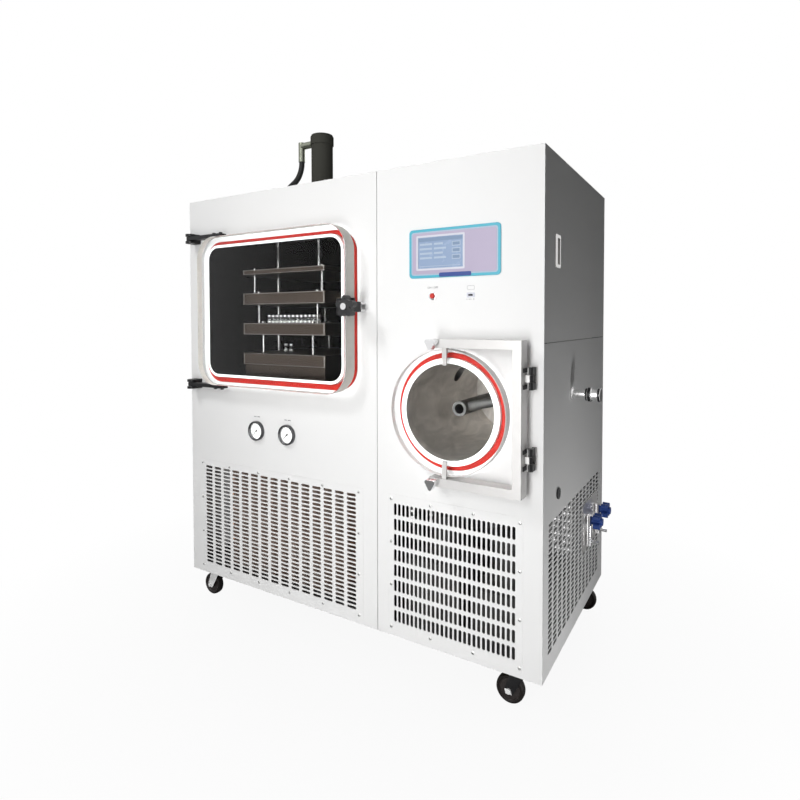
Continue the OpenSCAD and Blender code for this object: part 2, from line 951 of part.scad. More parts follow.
// Black hinge arms above and below the door, and the clamp bracket at its right edge
module door_fittings() {
    color("black")
        place() {
            hinge_arm(door_top, 1);
            hinge_arm(door_bottom - arm_t, -1);
            difference() {
                union() {
                    block(star_x - 44, star_x + 16, door_front - 8, door_front, star_z - 24, star_z + 24);
                    block(door_right, star_x + 14, door_front, -lug_out - 4, star_z - 14, star_z + 14);
                }
                rod_y(star_x, door_front - 9, 0, star_z, star_stud_r + fit);
            }
        }
}

module hinge_arm(z, way) {
    difference() {
        union() {
            block(hinge_x, arm_end, hinge_y - arm_half, hinge_y + arm_half, z, z + arm_t);
            rod_z(hinge_x, hinge_y, z, z + arm_t, arm_half);
            for (x = [arm_end - 44, arm_end - 12])
                rod_z(x, hinge_y, way > 0 ? z + arm_t - 1 : z - 5, way > 0 ? z + arm_t + 5 : z + 1, 6);
        }
        rod_z(hinge_x, hinge_y, z - 1, z + arm_t + 1, hinge_pin_r + fit);
    }
}

module star_knob() {
    front = door_front - star_front;
    color("black")
        place() {
            plate_y(front + 6, front + 6 + star_t)
                translate([star_x, star_z])
                    union() {
                        circle(star_r - 10);
                        for (k = [0 : 4])
                            rotate(90 + 72 * k)
                                translate([star_r - 9, 0])
                                    circle(9);
                    }
            rod_y(star_x, front, front + 7, star_z, 10);
            rod_y(star_x, front + 5 + star_t, door_front - 8 - rest_gap, star_z, 13);
            rod_y(star_x, front + 5, -lug_out + stud_bite, star_z, star_stud_r);
        }
}

// Clevises that the door's arms turn in, and the hinge leaves beside the trap door
module hinge_brackets() {
    color("black")
        place() {
            door_clevis(door_top);
            door_clevis(door_bottom - arm_t);
            for (s = [-1, 1])
                trap_hinge_leaf(trap_z + s * knuckle_dz);
        }
}

module door_clevis(z) {
    z0 = z - ear_gap - ear_t;
    z1 = z + arm_t + ear_gap + ear_t;
    block(hinge_x - 16, hinge_x + 16, -8, 0, z0, z1);
    for (e = [z0, z1 - ear_t]) {
        block(hinge_x - 16, hinge_x + 16, hinge_y, -7, e, e + ear_t);
        rod_z(hinge_x, hinge_y, e, e + ear_t, 16);
    }
    rod_z(hinge_x, hinge_y, z0 + 1, z1 - 1, hinge_pin_r);
}

module trap_hinge_leaf(z) {
    block(trap_hinge_x - 2, trap_hinge_x + 9, -6, 0, z - hinge_half, z + hinge_half);
    for (s = [-1, 1]) {
        rod_z(trap_hinge_x, trap_hinge_y, z + s * 18 - 9, z + s * 18 + 9, knuckle_r);
        block(trap_hinge_x, trap_hinge_x + knuckle_r, trap_hinge_y, -5, z + s * 18 - 9, z + s * 18 + 9);
    }
    rod_z(trap_hinge_x, trap_hinge_y, z - 20, z + 20, 3);
}

// Forked lugs on the cabinet that the clamp screws' plain ends swing into
module clamp_sockets() {
    color("silver")
        place() {
            fork_lug(star_x, star_z, lug_r, lug_out, star_stud_r + swing);
            for (s = [-1, 1])
                fork_lug(trap_knob_x, trap_z + s * trap_knob_dz, 9, trap_socket_out, trap_stud_r + swing);
        }
}

// A round lug with a slot across it, half_gap to each side of its middle
module fork_lug(x, z, r, out, half_gap) {
    difference() {
        rod_y(x, -out, 0, z, r);
        block(x - r - 1, x + r + 1, -out - 1, 1, z - half_gap, z + half_gap);
    }
}

// ---------- cold trap ----------

module trap_vessel() {
    color("lightgray")
        place()
            difference() {
                turned_y(trap_x, 0, trap_z)
                    polygon([[trap_r, -rim_out], [trap_rim_r, -rim_out], [trap_rim_r, sheet],
                        [trap_rim_r + 25, sheet], [trap_rim_r + 25, trap_y0], [vessel_outer, trap_y0],
                        [vessel_outer, trap_y1 + vessel_wall], [0, trap_y1 + vessel_wall], [0, trap_y1],
                        [vessel_r, trap_y1], [vessel_r, trap_y0], [trap_r, trap_y0]]);
                rod_x(trap_x - vessel_outer - 1, trap_x - 40, duct_y, duct_z, duct_r - 3);
                translate([trap_x, 80, trap_z])
                    rotate([0, -14, 0])
                        rod_x(60, vessel_outer + 30, 0, 0, arm_tube_r + loose);
            }
}

module trap_gasket() {
    color("firebrick")
        place()
            turned_y(trap_x, 0, trap_z)
                polygon([[trap_rim_r + 0.5, -gasket_t], [trap_gasket_r - 2, -gasket_t],
                    [trap_gasket_r, -gasket_t + 2], [trap_gasket_r, 0], [trap_rim_r + 0.5, 0]]);
}

module evaporator_coil() {
    color("peru")
        place() {
            for (y = coil_ys)
                turned_y(trap_x, y, trap_z)
                    translate([coil_ring_r, 0])
                        circle(coil_r, $fn = 32);
            rod_y(trap_x + coil_ring_r + 4, coil_ys[0], coil_ys[6], trap_z, 6);
        }
}

module centre_tube() {
    color("silver")
        place()
            difference() {
                union() {
                    rod_y(trap_x, 50, trap_y1, trap_z, 20);
                    translate([trap_x, 80, trap_z])
                        rotate([0, -14, 0])
                            rod_x(10, vessel_outer + 12, 0, 0, arm_tube_r);
                }
                rod_y(trap_x, 49, trap_y1 - 20, trap_z, 13);
                translate([trap_x, 80, trap_z])
                    rotate([0, -14, 0])
                        rod_x(5, vessel_outer + 13, 0, 0, arm_tube_r - 2);
            }
}

module vapour_duct() {
    color("silver")
        place()
            difference() {
                rod_x(room_x1 + chamber_wall, trap_x - 60, duct_y, duct_z, duct_r);
                rod_x(room_x1 + chamber_wall - 1, trap_x, duct_y, duct_z, duct_r - 3);
                rod_y(trap_x, duct_y - 50, duct_y + 50, trap_z, vessel_outer);
            }
}

module trap_door() {
    color("lightcyan", 0.4)
        place()
            difference() {
                turned_y(trap_x, 0, trap_z)
                    polygon([[0, disc_front], [disc_r - 2, disc_front], [disc_r, disc_front + 2],
                        [disc_r, disc_back - 1], [disc_r - 1, disc_back], [0, disc_back]]);
                for (s = [-1, 1])
                    rod_z(trap_x, disc_mid_y, trap_z + s * disc_r - 10, trap_z + s * disc_r + 10,
                        pivot_r + fit);
            }
}

// The open square bracket that carries the round door on two pivots
module trap_door_bracket() {
    top = trap_z + bracket_half;
    bottom = trap_z - bracket_half;
    color("silver")
        place() {
            difference() {
                union() {
                    block(bracket_right - bracket_w, bracket_right, bracket_front, bracket_back, bottom, top);
                    for (z = [bottom, top - bracket_w])
                        block(bracket_left, bracket_right, bracket_front, bracket_back, z, z + bracket_w);
                    for (s = [-1, 1])
                        door_tab(s);
                    for (s = [-1, 1])
                        bracket_knuckle(trap_z + s * knuckle_dz);
                }
                for (s = [-1, 1])
                    rod_y(trap_knob_x, bracket_front - 1, bracket_back + 1, trap_z + s * trap_knob_dz,
                        trap_stud_r + fit);
            }
        }
}

module door_tab(s) {
    z_arm = trap_z + s * (bracket_half - bracket_w + 1);
    z_end = trap_z + s * (disc_r - 40);
    z_pivot = trap_z + s * (disc_r - 8);
    block(trap_x - 6, trap_x + 6, disc_front - 6, disc_front, min(z_arm, z_end), max(z_arm, z_end));
    rod_z(trap_x, disc_mid_y, min(z_arm, z_pivot), max(z_arm, z_pivot), pivot_r);
}

module bracket_knuckle(z) {
    difference() {
        union() {
            rod_z(trap_hinge_x, trap_hinge_y, z - 8.5, z + 8.5, knuckle_r);
            block(bracket_right - 1, trap_hinge_x, trap_hinge_y - knuckle_r, trap_hinge_y, z - 8.5, z + 8.5);
        }
        rod_z(trap_hinge_x, trap_hinge_y, z - 10, z + 10, 3 + fit);
    }
}

module trap_knob(s) {
    z = trap_z + s * trap_knob_dz;
    front = bracket_front - 26;
    color("silver")
        place() {
            rod_y(trap_knob_x, front + 16, bracket_front - rest_gap, z, 9);
            plate_y(front, front + 17)
                translate([trap_knob_x, z])
                    union() {
                        circle(11);
                        for (k = [0 : 2])
                            rotate(30 + 120 * k)
                                translate([10, 0])
                                    circle(6);
                    }
            rod_y(trap_knob_x, front + 5, -trap_socket_out + trap_bite, z, trap_stud_r);
        }
}

module trap_knob_upper() {
    trap_knob(1);
}

module trap_knob_lower() {
    trap_knob(-1);
}

// ---------- front controls ----------

module pressure_gauges() {
    color("whitesmoke")
        place()
            for (s = [-1, 1])
                turned_y(gauge_x + s * gauge_pitch / 2, 0, gauge_z)
                    polygon([[0, -3], [0, -6.5], [1, -6.5], [1, -3], [gauge_r - 4, -3], [gauge_r - 4, -12],
                        [gauge_r - 1, -12], [gauge_r, -10], [gauge_r, 0], [gauge_r - 4.5, 0],
                        [gauge_r - 4.5, 30], [0, 30]]);
}

module gauge_needle(s, turn) {
    color("black")
        place()
            translate([gauge_x + s * gauge_pitch / 2, 0, gauge_z])
                rotate([0, turn, 0])
                    difference() {
                        union() {
                            rod_y(0, -6, -3.4, 0, 3);
                            plate_y(-6, -5)
                                polygon([[-1.4, -7], [1.4, -7], [0.5, needle_len], [-0.5, needle_len]]);
                        }
                        rod_y(0, -8, 0, 0, 1 + 0.06);
                    }
}

module gauge_needle_left() {
    gauge_needle(-1, -135);
}

module gauge_needle_right() {
    gauge_needle(1, -135);
}

// Touch panel with its sunk screen, the button's collar and the service port
module operator_panel() {
    color("lightsteelblue")
        place() {
            difference() {
                union() {
                    plate_y(-panel_t, 0)
                        translate([panel_x, panel_z])
                            rounded(panel_w, panel_h, panel_r);
                    plate_y(-panel_t - 0.8, -panel_t + 0.5)
                        translate([panel_x + 1, panel_z])
                            rounded(panel_w - 21, panel_h - 21, panel_r - 4);
                    plate_y(-0.5, 38)
                        translate([panel_x, panel_z])
                            square([panel_w - 21, panel_h - 21], center = true);
                }
                plate_y(-panel_t - 1, -panel_t + 0.8)
                    translate([panel_x - 37, panel_z + 1.5])
                        square([131, 82], center = true);
            }
            turned_y(button_x, 0, button_z)
                polygon([[button_r + fit, -2.5], [button_r + 4, -2.5], [button_r + 4, 0], [button_r + 1.8, 0],
                    [button_r + 1.8, 26], [0, 26], [0, 24], [button_r + fit, 24]]);
            difference() {
                union() {
                    plate_y(-1.5, 0)
                        translate([plug_x, button_z])
                            rounded(22, 12, 2);
                    plate_y(-1, 18)
                        translate([plug_x, button_z])
                            square([15, 6], center = true);
                }
                plate_y(-2, 12)
                    translate([plug_x, button_z])
                        square([12, 4.5], center = true);
            }
        }
}

module power_button() {
    color("crimson")
        place()
            turned_y(button_x, 0, button_z)
                polygon([[0, -6], [button_r - 1.5, -6], [button_r, -4.5], [button_r, 18], [0, 18]]);
}

// ---------- units inside the cabinet ----------

module compressor(x, y) {
    translate([x, y, base_top]) {
        translate([0, 0, comp_foot])
            rotate_extrude($fn = 64)
                polygon([[0, 0], [comp_r - 25, 0], [comp_r, 22], [comp_r, comp_h - 45],
                    [comp_r - 10, comp_h - 20], [comp_r - 40, comp_h], [0, comp_h]]);
        for (a = [45, 135, 225, 315])
            rotate([0, 0, a])
                translate([comp_r - 20, 0, 0])
                    cylinder(r = 12, h = comp_foot + 20);
        translate([-14, -14, comp_foot + comp_h - 10])
            cube([28, 28, 30]);
    }
}

module refrigeration_unit() {
    color("dimgray")
        place() {
            for (x = comp_xs)
                compressor(x, body_d - 180);
            rod_z(receiver_x, body_d - 160, base_top, base_top + 300, 45);
            rod_z(dryer_x, body_d - 160, base_top, base_top + 220, 30);
        }
}

// Finned air-cooled condenser with its shroud and the fan motor's bracket
module air_condenser() {
    color("silver")
        place() {
            block(fan_x - 250, fan_x + 250, block_y0, block_y1, base_top, base_top + block_h);
            difference() {
                block(fan_x - 170, fan_x + 170, block_y1, shroud_y1, base_top, base_top + block_h);
                rod_y(fan_x, block_y1 - 1, shroud_y1 + 1, fan_z, fan_r + 8);
            }
            block(fan_x - 20, fan_x + 20, shroud_y1, shroud_y1 + 10, base_top, fan_z + 20);
            rod_y(fan_x, shroud_y1 + 10, shroud_y1 + 80, fan_z, 38);
            rod_y(fan_x, shroud_y1 - 20, shroud_y1, fan_z, fan_shaft_r);
        }
}

module condenser_fan() {
    color("black")
        place()
            translate([fan_x, shroud_y1 - 8, fan_z])
                rotate([90, 0, 0])
                    difference() {
                        union() {
                            cylinder(r = fan_hub_r, h = fan_hub_t);
                            for (k = [0 : 4])
                                rotate([0, 0, 72 * k])
                                    translate([fan_hub_r - 2, 0, fan_hub_t / 2])
                                        rotate([25, 0, 0])
                                            translate([0, -24, -1.5])
                                                cube([fan_r - 34, 48, 3]);
                        }
                        translate([0, 0, -1])
                            cylinder(r = fan_shaft_r + fit, h = 14);
                    }
}

module vacuum_pump() {
    color("slategray")
        place() {
            block(left_w + 60, left_w + 210, body_d - 330, body_d - 120, base_top, base_top + 20);
            block(left_w + 75, left_w + 195, body_d - 320, body_d - 190, base_top + 20, base_top + 170);
            rod_y(left_w + 135, body_d - 192, body_d - 60, base_top + 100, 60);
            rod_z(left_w + 105, body_d - 290, base_top + 160, base_top + 200, 16);
        }
}

// Heating oil tank with its pump, and the hydraulic unit beside it
module oil_units() {
    color("steelblue")
        place() {
            block(left_w + 60, left_w + 230, 60, 240, base_top, base_top + 170);
            rod_z(left_w + 145, 150, base_top + 170, base_top + 290, 42);
            block(left_w + 260, right_post_x - 20, 60, 240, base_top, base_top + 130);
            rod_z((left_w + 260 + right_post_x - 20) / 2, 150, base_top + 130, base_top + 270, 48);
        }
}

module control_box() {
    color("whitesmoke")
        place() {
            difference() {
                block(left_w + 70, right_post_x - 40, body_d - 150, rear_in, body_h - 480, body_h - 150);
                block(left_w + 73, right_post_x - 43, body_d - 147, rear_in - 3, body_h - 477, body_h - 153);
            }
            difference() {
                rod_y(gland_x, rear_in, body_d, gland_z, inlet_r);
                rod_y(gland_x, rear_in - 1, body_d + 1, gland_z, inlet_r - 7);
            }
        }
}

// ---------- right side ----------

module vacuum_port() {
    out = body_w + port_reach;
    color("silver")
        place() {
            difference() {
                union() {
                    rod_x(body_w - 60, body_w + 46, port_y, port_z, port_r);
                    rod_x(body_w, body_w + 6, port_y, port_z, port_r + 7);
                    rod_x(body_w - 10, body_w - sheet, port_y, port_z, port_r + 7);
                    rod_x(body_w + 40, body_w + 46, port_y, port_z, 17);
                }
                rod_x(body_w - 61, body_w + 47, port_y, port_z, port_r - 2);
            }
            rod_x(body_w + 46, body_w + 56, port_y, port_z, 19);
            rod_x(body_w + 56, out - 8, port_y, port_z, 15);
            rod_x(out - 8, out, port_y, port_z, 18);
        }
}

function valve_y(i) = valve_plate_y0 + valve_plate_w / 2 + (i - 0.5) * valve_pitch;

module drain_valves() {
    color("silver")
        place() {
            block(body_w, body_w + valve_plate_t, valve_plate_y0, valve_plate_y0 + valve_plate_w,
                valve_plate_z0, valve_plate_z0 + valve_plate_h);
            for (i = [0, 1]) {
                rod_z(stem_x, valve_y(i), tail_z - 12, handle_z + 14, valve_r);
                block(body_w + 1, stem_x, valve_y(i) - 6, valve_y(i) + 6, handle_z - 34, handle_z - 14);
                rod_x(stem_x, stem_x + valve_r + 12, valve_y(i), handle_z, 4);
                rod_x(stem_x, stem_x + valve_r + tail_len, valve_y(i), tail_z, tail_r);
                rod_x(stem_x, stem_x + valve_r + 3, valve_y(i), tail_z, tail_r + 2);
            }
        }
}

// Blue four-lobed handle on a drain valve's stem
module drain_handle(i) {
    x0 = stem_x + valve_r + rest_gap;
    color("mediumblue")
        place()
            difference() {
                union() {
                    rod_x(x0, x0 + handle_t, valve_y(i), handle_z, handle_r);
                    for (a = [45 : 90 : 315])
                        plate_x(x0 + 6, x0 + handle_t - 6)
                            translate([valve_y(i), handle_z])
                                rotate(a)
                                    translate([17, 0])
                                        circle(9);
                }
                rod_x(x0 - 1, stem_x + valve_r + 12.5, valve_y(i), handle_z, 4 + fit);
            }
}

module drain_handle_front() {
    drain_handle(0);
}

module drain_handle_rear() {
    drain_handle(1);
}

// ---------- casters ----------

module caster_fork(i) {
    leg_y = wheel_w / 2 + leg_gap;
    color("dimgray")
        place()
            translate([caster_x(i), caster_y(i), 0])
                rotate([0, 0, caster_turn(i)]) {
                    rod_z(0, 0, fork_top - 6, fork_top, 30);
                    rod_z(0, 0, fork_top - 1, -0.5, kingpin_r);
                    for (s = [0, 1])
                        mirror([0, s, 0])
                            plate_y(leg_y, leg_y + leg_t)
                                polygon([[-20, fork_top - 5], [20, fork_top - 5],
                                    [caster_trail + 11, axle_z + 4], [caster_trail + 9, axle_z - 9],
                                    [caster_trail - 9, axle_z - 9]]);
                    rod_y(caster_trail, -leg_y - leg_t - 4, leg_y + leg_t + 4, axle_z, axle_r);
                    for (s = [-1, 1])
                        rod_y(caster_trail, s > 0 ? leg_y + leg_t : -leg_y - leg_t - 4,
                            s > 0 ? leg_y + leg_t + 4 : -leg_y - leg_t, axle_z, 7);
                }
}

module caster_wheel(i) {
    half = wheel_w / 2;
    color("black")
        place()
            translate([caster_x(i), caster_y(i), 0])
                rotate([0, 0, caster_turn(i)])
                    turned_y(caster_trail, 0, axle_z)
                        polygon([[axle_r + fit, -half - 1], [11, -half - 1], [12, -half + 4],
                            [wheel_r - 10, -half + 4], [wheel_r - 8, -half], [wheel_r - 3, -half],
                            [wheel_r, -half + 4], [wheel_r, half - 4], [wheel_r - 3, half],
                            [wheel_r - 8, half], [wheel_r - 10, half - 4], [12, half - 4],
                            [11, half + 1], [axle_r + fit, half + 1]]);
}

module caster_fork_1() {
    caster_fork(0);
}

module caster_fork_2() {
    caster_fork(1);
}

module caster_fork_3() {
    caster_fork(2);
}

module caster_fork_4() {
    caster_fork(3);
}

module caster_wheel_1() {
    caster_wheel(0);
}

module caster_wheel_2() {
    caster_wheel(1);
}

module caster_wheel_3() {
    caster_wheel(2);
}

module caster_wheel_4() {
    caster_wheel(3);
}

cabinet_frame();
left_front_panel();
right_front_panel();
left_vent_plate();
right_vent_plate();
left_side_panel();
right_upper_panel();
right_lower_panel();
top_and_rear_panels();
panel_screws();
side_pull_handle();
side_lock();
drying_chamber();
chamber_gasket();
hydraulic_cylinder();
hydraulic_hose();
shelf_lower();
vials_lower();
hinge_brackets();
clamp_sockets();
trap_vessel();
trap_gasket();
evaporator_coil();
centre_tube();
vapour_duct();
pressure_gauges();
operator_panel();
refrigeration_unit();
air_condenser();
condenser_fan();
vacuum_pump();
oil_units();
control_box();
vacuum_port();
drain_valves();
drain_handle_front();
drain_handle_rear();
chamber_door();
door_fittings();
star_knob();
trap_door();
trap_door_bracket();
trap_knob_upper();
trap_knob_lower();
press_ram();
shelf_upper();
shelf_middle();
vials_middle();
shelf_hose();
gauge_needle_left();
gauge_needle_right();
power_button();
caster_fork_1();
caster_fork_2();
caster_fork_3();
caster_fork_4();
caster_wheel_1();
caster_wheel_2();
caster_wheel_3();
caster_wheel_4();
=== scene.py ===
"""Looks of a production freeze dryer: finishes, moulded and turned pieces, dials, hoses, studio."""

import json
import math

import bmesh
import bpy
from bpy.props import FloatProperty, FloatVectorProperty, IntProperty, PointerProperty
from mathutils import Matrix, Vector


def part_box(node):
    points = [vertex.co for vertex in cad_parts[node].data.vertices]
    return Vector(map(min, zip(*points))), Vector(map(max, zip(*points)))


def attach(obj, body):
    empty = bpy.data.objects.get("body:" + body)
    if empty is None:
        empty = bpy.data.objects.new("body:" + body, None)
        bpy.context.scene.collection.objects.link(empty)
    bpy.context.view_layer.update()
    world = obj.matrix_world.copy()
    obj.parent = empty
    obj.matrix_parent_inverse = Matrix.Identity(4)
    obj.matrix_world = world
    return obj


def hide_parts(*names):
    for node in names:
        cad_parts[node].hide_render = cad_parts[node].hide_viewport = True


bl_info = {
    "name": "Freeze Dryer",
    "version": (1, 0, 0),
    "blender": (4, 5, 0),
    "location": "3D View > Sidebar > Freeze Dryer",
    "description": "Dresses the freeze dryer's frame with finishes and detailed pieces",
    "category": "Object",
}

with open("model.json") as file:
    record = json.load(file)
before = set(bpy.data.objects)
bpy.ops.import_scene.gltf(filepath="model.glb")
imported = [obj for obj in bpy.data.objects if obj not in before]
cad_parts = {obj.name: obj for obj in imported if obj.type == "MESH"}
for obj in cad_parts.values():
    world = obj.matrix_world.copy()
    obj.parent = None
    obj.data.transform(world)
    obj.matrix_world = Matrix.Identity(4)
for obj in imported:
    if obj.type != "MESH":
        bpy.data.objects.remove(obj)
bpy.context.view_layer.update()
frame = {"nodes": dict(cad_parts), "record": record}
NODES = frame["nodes"]
RECORD = frame["record"]
BODY_OF = {node: body for body, nodes in RECORD["behaviour"]["bodies"].items() for node in nodes}

X, Y, Z = Vector((1, 0, 0)), Vector((0, 1, 0)), Vector((0, 0, 1))
MM = 0.001


# ---------- places ----------


def low(node):
    """Lowest corner of a node."""
    return Vector(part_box(node)[0])


def high(node):
    """Highest corner of a node."""
    return Vector(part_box(node)[1])


def middle(node):
    """Centre of a node's box."""
    return (low(node) + high(node)) / 2


# Places below are millimetres from this corner: x to the right, y into the cabinet, z up
CORNER = low("left_front_panel")
PANEL = (1027, 0, 1060.5)
SCREEN = (990, 0, 1062)
BUTTON = (967, 0, 948)
PORT = (1076, 0, 948)
GAUGE_XS = (321, 453)
RIM_BACK = -0.5
TRAP_HINGE_X = 1238
TRAP_HINGE_ZS = (551, 745)
SHELF_TOPS = {"shelf_lower": 776, "shelf_middle": 876, "shelf_upper": 976, "press_ram": 1054}


def at(x, y, z, start=(0, 0, 0)):
    """The point x, y and z millimetres from the cabinet's corner, or from a start point."""
    return CORNER + (Vector(start) + Vector((x, y, z))) * MM


def mm(pairs):
    """Pairs of millimetres as metres."""
    return [(a * MM, b * MM) for a, b in pairs]


def solids(node):
    """The box of each separate solid in a node, from low x to high x."""
    mesh = NODES[node].data
    spots = [tuple(round(c, 5) for c in v.co) for v in mesh.vertices]
    parent = {s: s for s in spots}

    def root(s):
        while parent[s] != s:
            parent[s] = parent[parent[s]]
            s = parent[s]
        return s

    for face in mesh.polygons:
        first = root(spots[face.vertices[0]])
        for v in face.vertices[1:]:
            parent[root(spots[v])] = first
    groups = {}
    for s in parent:
        groups.setdefault(root(s), []).append(s)
    boxes = [(Vector(map(min, zip(*g))), Vector(map(max, zip(*g)))) for g in groups.values()]
    return sorted(boxes, key=lambda b: (b[0].x, b[0].y, b[0].z))


# ---------- finishes ----------


def finish(make):
    """A finish is made once and shared by every piece that wears it."""
    kept = {}

    def shared(*args):
        if args not in kept:
            kept[args] = make(*args)
        return kept[args]

    shared.__doc__ = make.__doc__
    return shared


class Tree:
    """The nodes of a material or a world."""

    def __init__(self, owner):
        owner.use_nodes = True
        self.tree = owner.node_tree

    def node(self, kind, values=(), **settings):
        made = self.tree.nodes.new(kind)
        for key, value in settings.items():
            setattr(made, key, value)
        for key, value in dict(values).items():
            made.inputs[key].default_value = value
        return made

    def link(self, source, target):
        self.tree.links.new(source, target)

    def spread(self, source, low_value, high_value, start=0.3, end=0.7):
        """The source from start to end, mapped to run from the low to the high value."""
        made = self.node("ShaderNodeMapRange", {
            "From Min": start, "From Max": end, "To Min": low_value, "To Max": high_value,
        })
        self.link(source, made.inputs["Value"])
        return made.outputs["Result"]

    def rays(self, *kinds):
        """1 for rays of these kinds and 0 for others."""
        path = self.node("ShaderNodeLightPath")
        seen, *others = (path.outputs[f"Is {kind} Ray"] for kind in kinds)
        for ray in others:
            either = self.node("ShaderNodeMath", operation="ADD", use_clamp=True)
            self.link(seen, either.inputs[0])
            self.link(ray, either.inputs[1])
            seen = either.outputs[0]
        return seen


class Finish(Tree):
    """A Principled material and the few nodes that give it grain, relief and wear."""

    def __init__(self, name, colour, roughness, metallic=0.0, **more):
        self.material = bpy.data.materials.new(name)
        super().__init__(self.material)
        self.material.diffuse_color = (*colour, 1)
        self.shader = self.tree.nodes["Principled BSDF"]
        self.colour = colour
        more = {"Base_Color": (*colour, 1), "Roughness": roughness, "Metallic": metallic, **more}
        for socket, value in more.items():
            self.shader.inputs[socket.replace("_", " ")].default_value = value

    def place(self, scale=(1, 1, 1)):
        """The point on the piece, stretched by scale to give a grain."""
        spot = self.node("ShaderNodeTexCoord")
        stretch = self.node("ShaderNodeMapping", {"Scale": scale})
        self.link(spot.outputs["Object"], stretch.inputs["Vector"])
        return stretch.outputs["Vector"]

    def noise(self, scale, detail=3.0, stretch=(1, 1, 1), distortion=0.0):
        values = {"Scale": scale, "Detail": detail, "Distortion": distortion}
        made = self.node("ShaderNodeTexNoise", values)
        self.link(self.place(stretch), made.inputs["Vector"])
        return made.outputs["Fac"]

    def lines(self, scale, direction="X"):
        made = self.node("ShaderNodeTexWave", {"Scale": scale}, bands_direction=direction)
        self.link(self.place(), made.inputs["Vector"])
        return made.outputs["Fac"]

    def colours(self, source, first, second):
        made = self.node("ShaderNodeMix", data_type="RGBA")
        made.inputs[6].default_value = (*first, 1)
        made.inputs[7].default_value = (*second, 1)
        self.link(source, made.inputs[0])
        self.link(made.outputs[2], self.shader.inputs["Base Color"])

    def shades(self, source, amount):
        """The colour, a little darker and lighter from place to place."""
        darker = tuple(c * (1 - amount) for c in self.colour)
        lighter = tuple(min(1, c * (1 + amount)) for c in self.colour)
        self.colours(source, darker, lighter)

    def rough(self, source, low_value, high_value):
        self.link(self.spread(source, low_value, high_value), self.shader.inputs["Roughness"])

    def relief(self, source, depth):
        made = self.node("ShaderNodeBump", {"Strength": 1.0, "Distance": depth})
        self.link(source, made.inputs["Height"])
        self.link(made.outputs["Normal"], self.shader.inputs["Normal"])

    def dress(self, shades, rough, relief=None):
        """Noise in colour, roughness and surface: each has its amounts, then its grain."""
        amount, *grain = shades
        self.shades(self.noise(*grain), amount)
        low_value, high_value, *grain = rough
        self.rough(self.noise(*grain), low_value, high_value)
        if relief:
            depth, *grain = relief
            self.relief(self.noise(*grain), depth)
        return self.material

    def cover(self, amount, shader):
        """Another shader laid over the surface by an amount."""
        mix = self.node("ShaderNodeMixShader")
        self.link(amount, mix.inputs[0])
        self.link(self.shader.outputs[0], mix.inputs[1])
        self.link(shader.outputs[0], mix.inputs[2])
        self.link(mix.outputs[0], self.tree.nodes["Material Output"].inputs["Surface"])

    def clear(self, roughness, grain, tint):
        """A clear surface that lets the lamps through, tinted a little."""
        self.rough(self.noise(*grain), 0.0, roughness)
        through = self.node("ShaderNodeBsdfTransparent", {"Color": (*tint, 1)})
        self.cover(self.rays("Shadow"), through)
        return self.material


@finish
def powder_coat(name, colour):
    """Sprayed sheet metal with a faint orange peel."""
    f = Finish(name, colour, 0.5, Specular_IOR_Level=0.0)
    return f.dress((0.012, 3.0, 4), (0.45, 0.55, 9.0, 4), (0.00006, 520, 2))


@finish
def black_coat():
    """Satin black paint with slightly worn, paler patches."""
    f = Finish("black coat", (0.008, 0.008, 0.009), 0.4, Specular_IOR_Level=0.3)
    return f.dress((0.5, 60, 5), (0.3, 0.5, 45, 4), (0.00005, 900, 2))


@finish
def moulded_black():
    """Black moulded plastic with a fine spark texture."""
    f = Finish("moulded black", (0.014, 0.014, 0.015), 0.35, Specular_IOR_Level=0.5)
    return f.dress((0.3, 70, 4), (0.24, 0.42, 120, 3), (0.00004, 1400, 2))


@finish
def brushed(name, colour, stretch, low_rough, high_rough):
    """Stainless steel or aluminium brushed in one direction."""
    f = Finish(name, colour, low_rough, 1.0)
    rough = (low_rough, high_rough, 240, 3, stretch)
    return f.dress((0.07, 300, 4, stretch), rough, (0.00003, 300, 4, stretch))


@finish
def polished(name, colour):
    """Chrome plate with faint fingerprints."""
    f = Finish(name, colour, 0.08, 1.0)
    return f.dress((0.03, 30, 3), (0.05, 0.14, 50, 4), (0.00001, 260, 2))


@finish
def mirror_steel(name, colour, low_rough, high_rough):
    """Rolled stainless sheet that mirrors what it holds, a little wavy."""
    f = Finish(name, colour, low_rough, 1.0)
    rough = (low_rough, high_rough, 20, 5, (1, 1, 0.3))
    return f.dress((0.12, 14, 4, (1, 1, 0.25)), rough, (0.0006, 7, 2))


@finish
def streaked_steel(name, colour):
    """Stainless sheet scrubbed by hand, with broad paler and darker streaks."""
    f = Finish(name, colour, 0.4, 0.7)
    streaks = (0.55, 24, 5, (1, 0.3, 0.5), 1.5)
    return f.dress(streaks, (0.34, 0.5, 60, 4), (0.00003, 240, 4, (9, 1.2, 9)))


@finish
def bead_blasted(name, colour):
    """Pale bead-blasted steel of the rims and the bracket."""
    f = Finish(name, colour, 0.4, 0.25)
    return f.dress((0.02, 60, 3), (0.34, 0.48, 90, 3), (0.00002, 900, 2))


@finish
def silicone():
    """Red silicone rubber, matt, with a little dust in its pores."""
    f = Finish("red silicone", (0.40, 0.016, 0.010), 0.5, Specular_IOR_Level=0.2)
    return f.dress((0.14, 40, 4), (0.42, 0.6, 90, 3), (0.00005, 700, 2))


@finish
def acrylic():
    """Clear acrylic with little sheen."""
    f = Finish(
        "clear acrylic", (0.98, 0.99, 0.99), 0.0,
        IOR=1.49, Transmission_Weight=1.0, Specular_Tint=(0.02, 0.02, 0.02, 1),
    )
    return f.clear(0.01, (5, 1), (0.93, 0.95, 0.95))


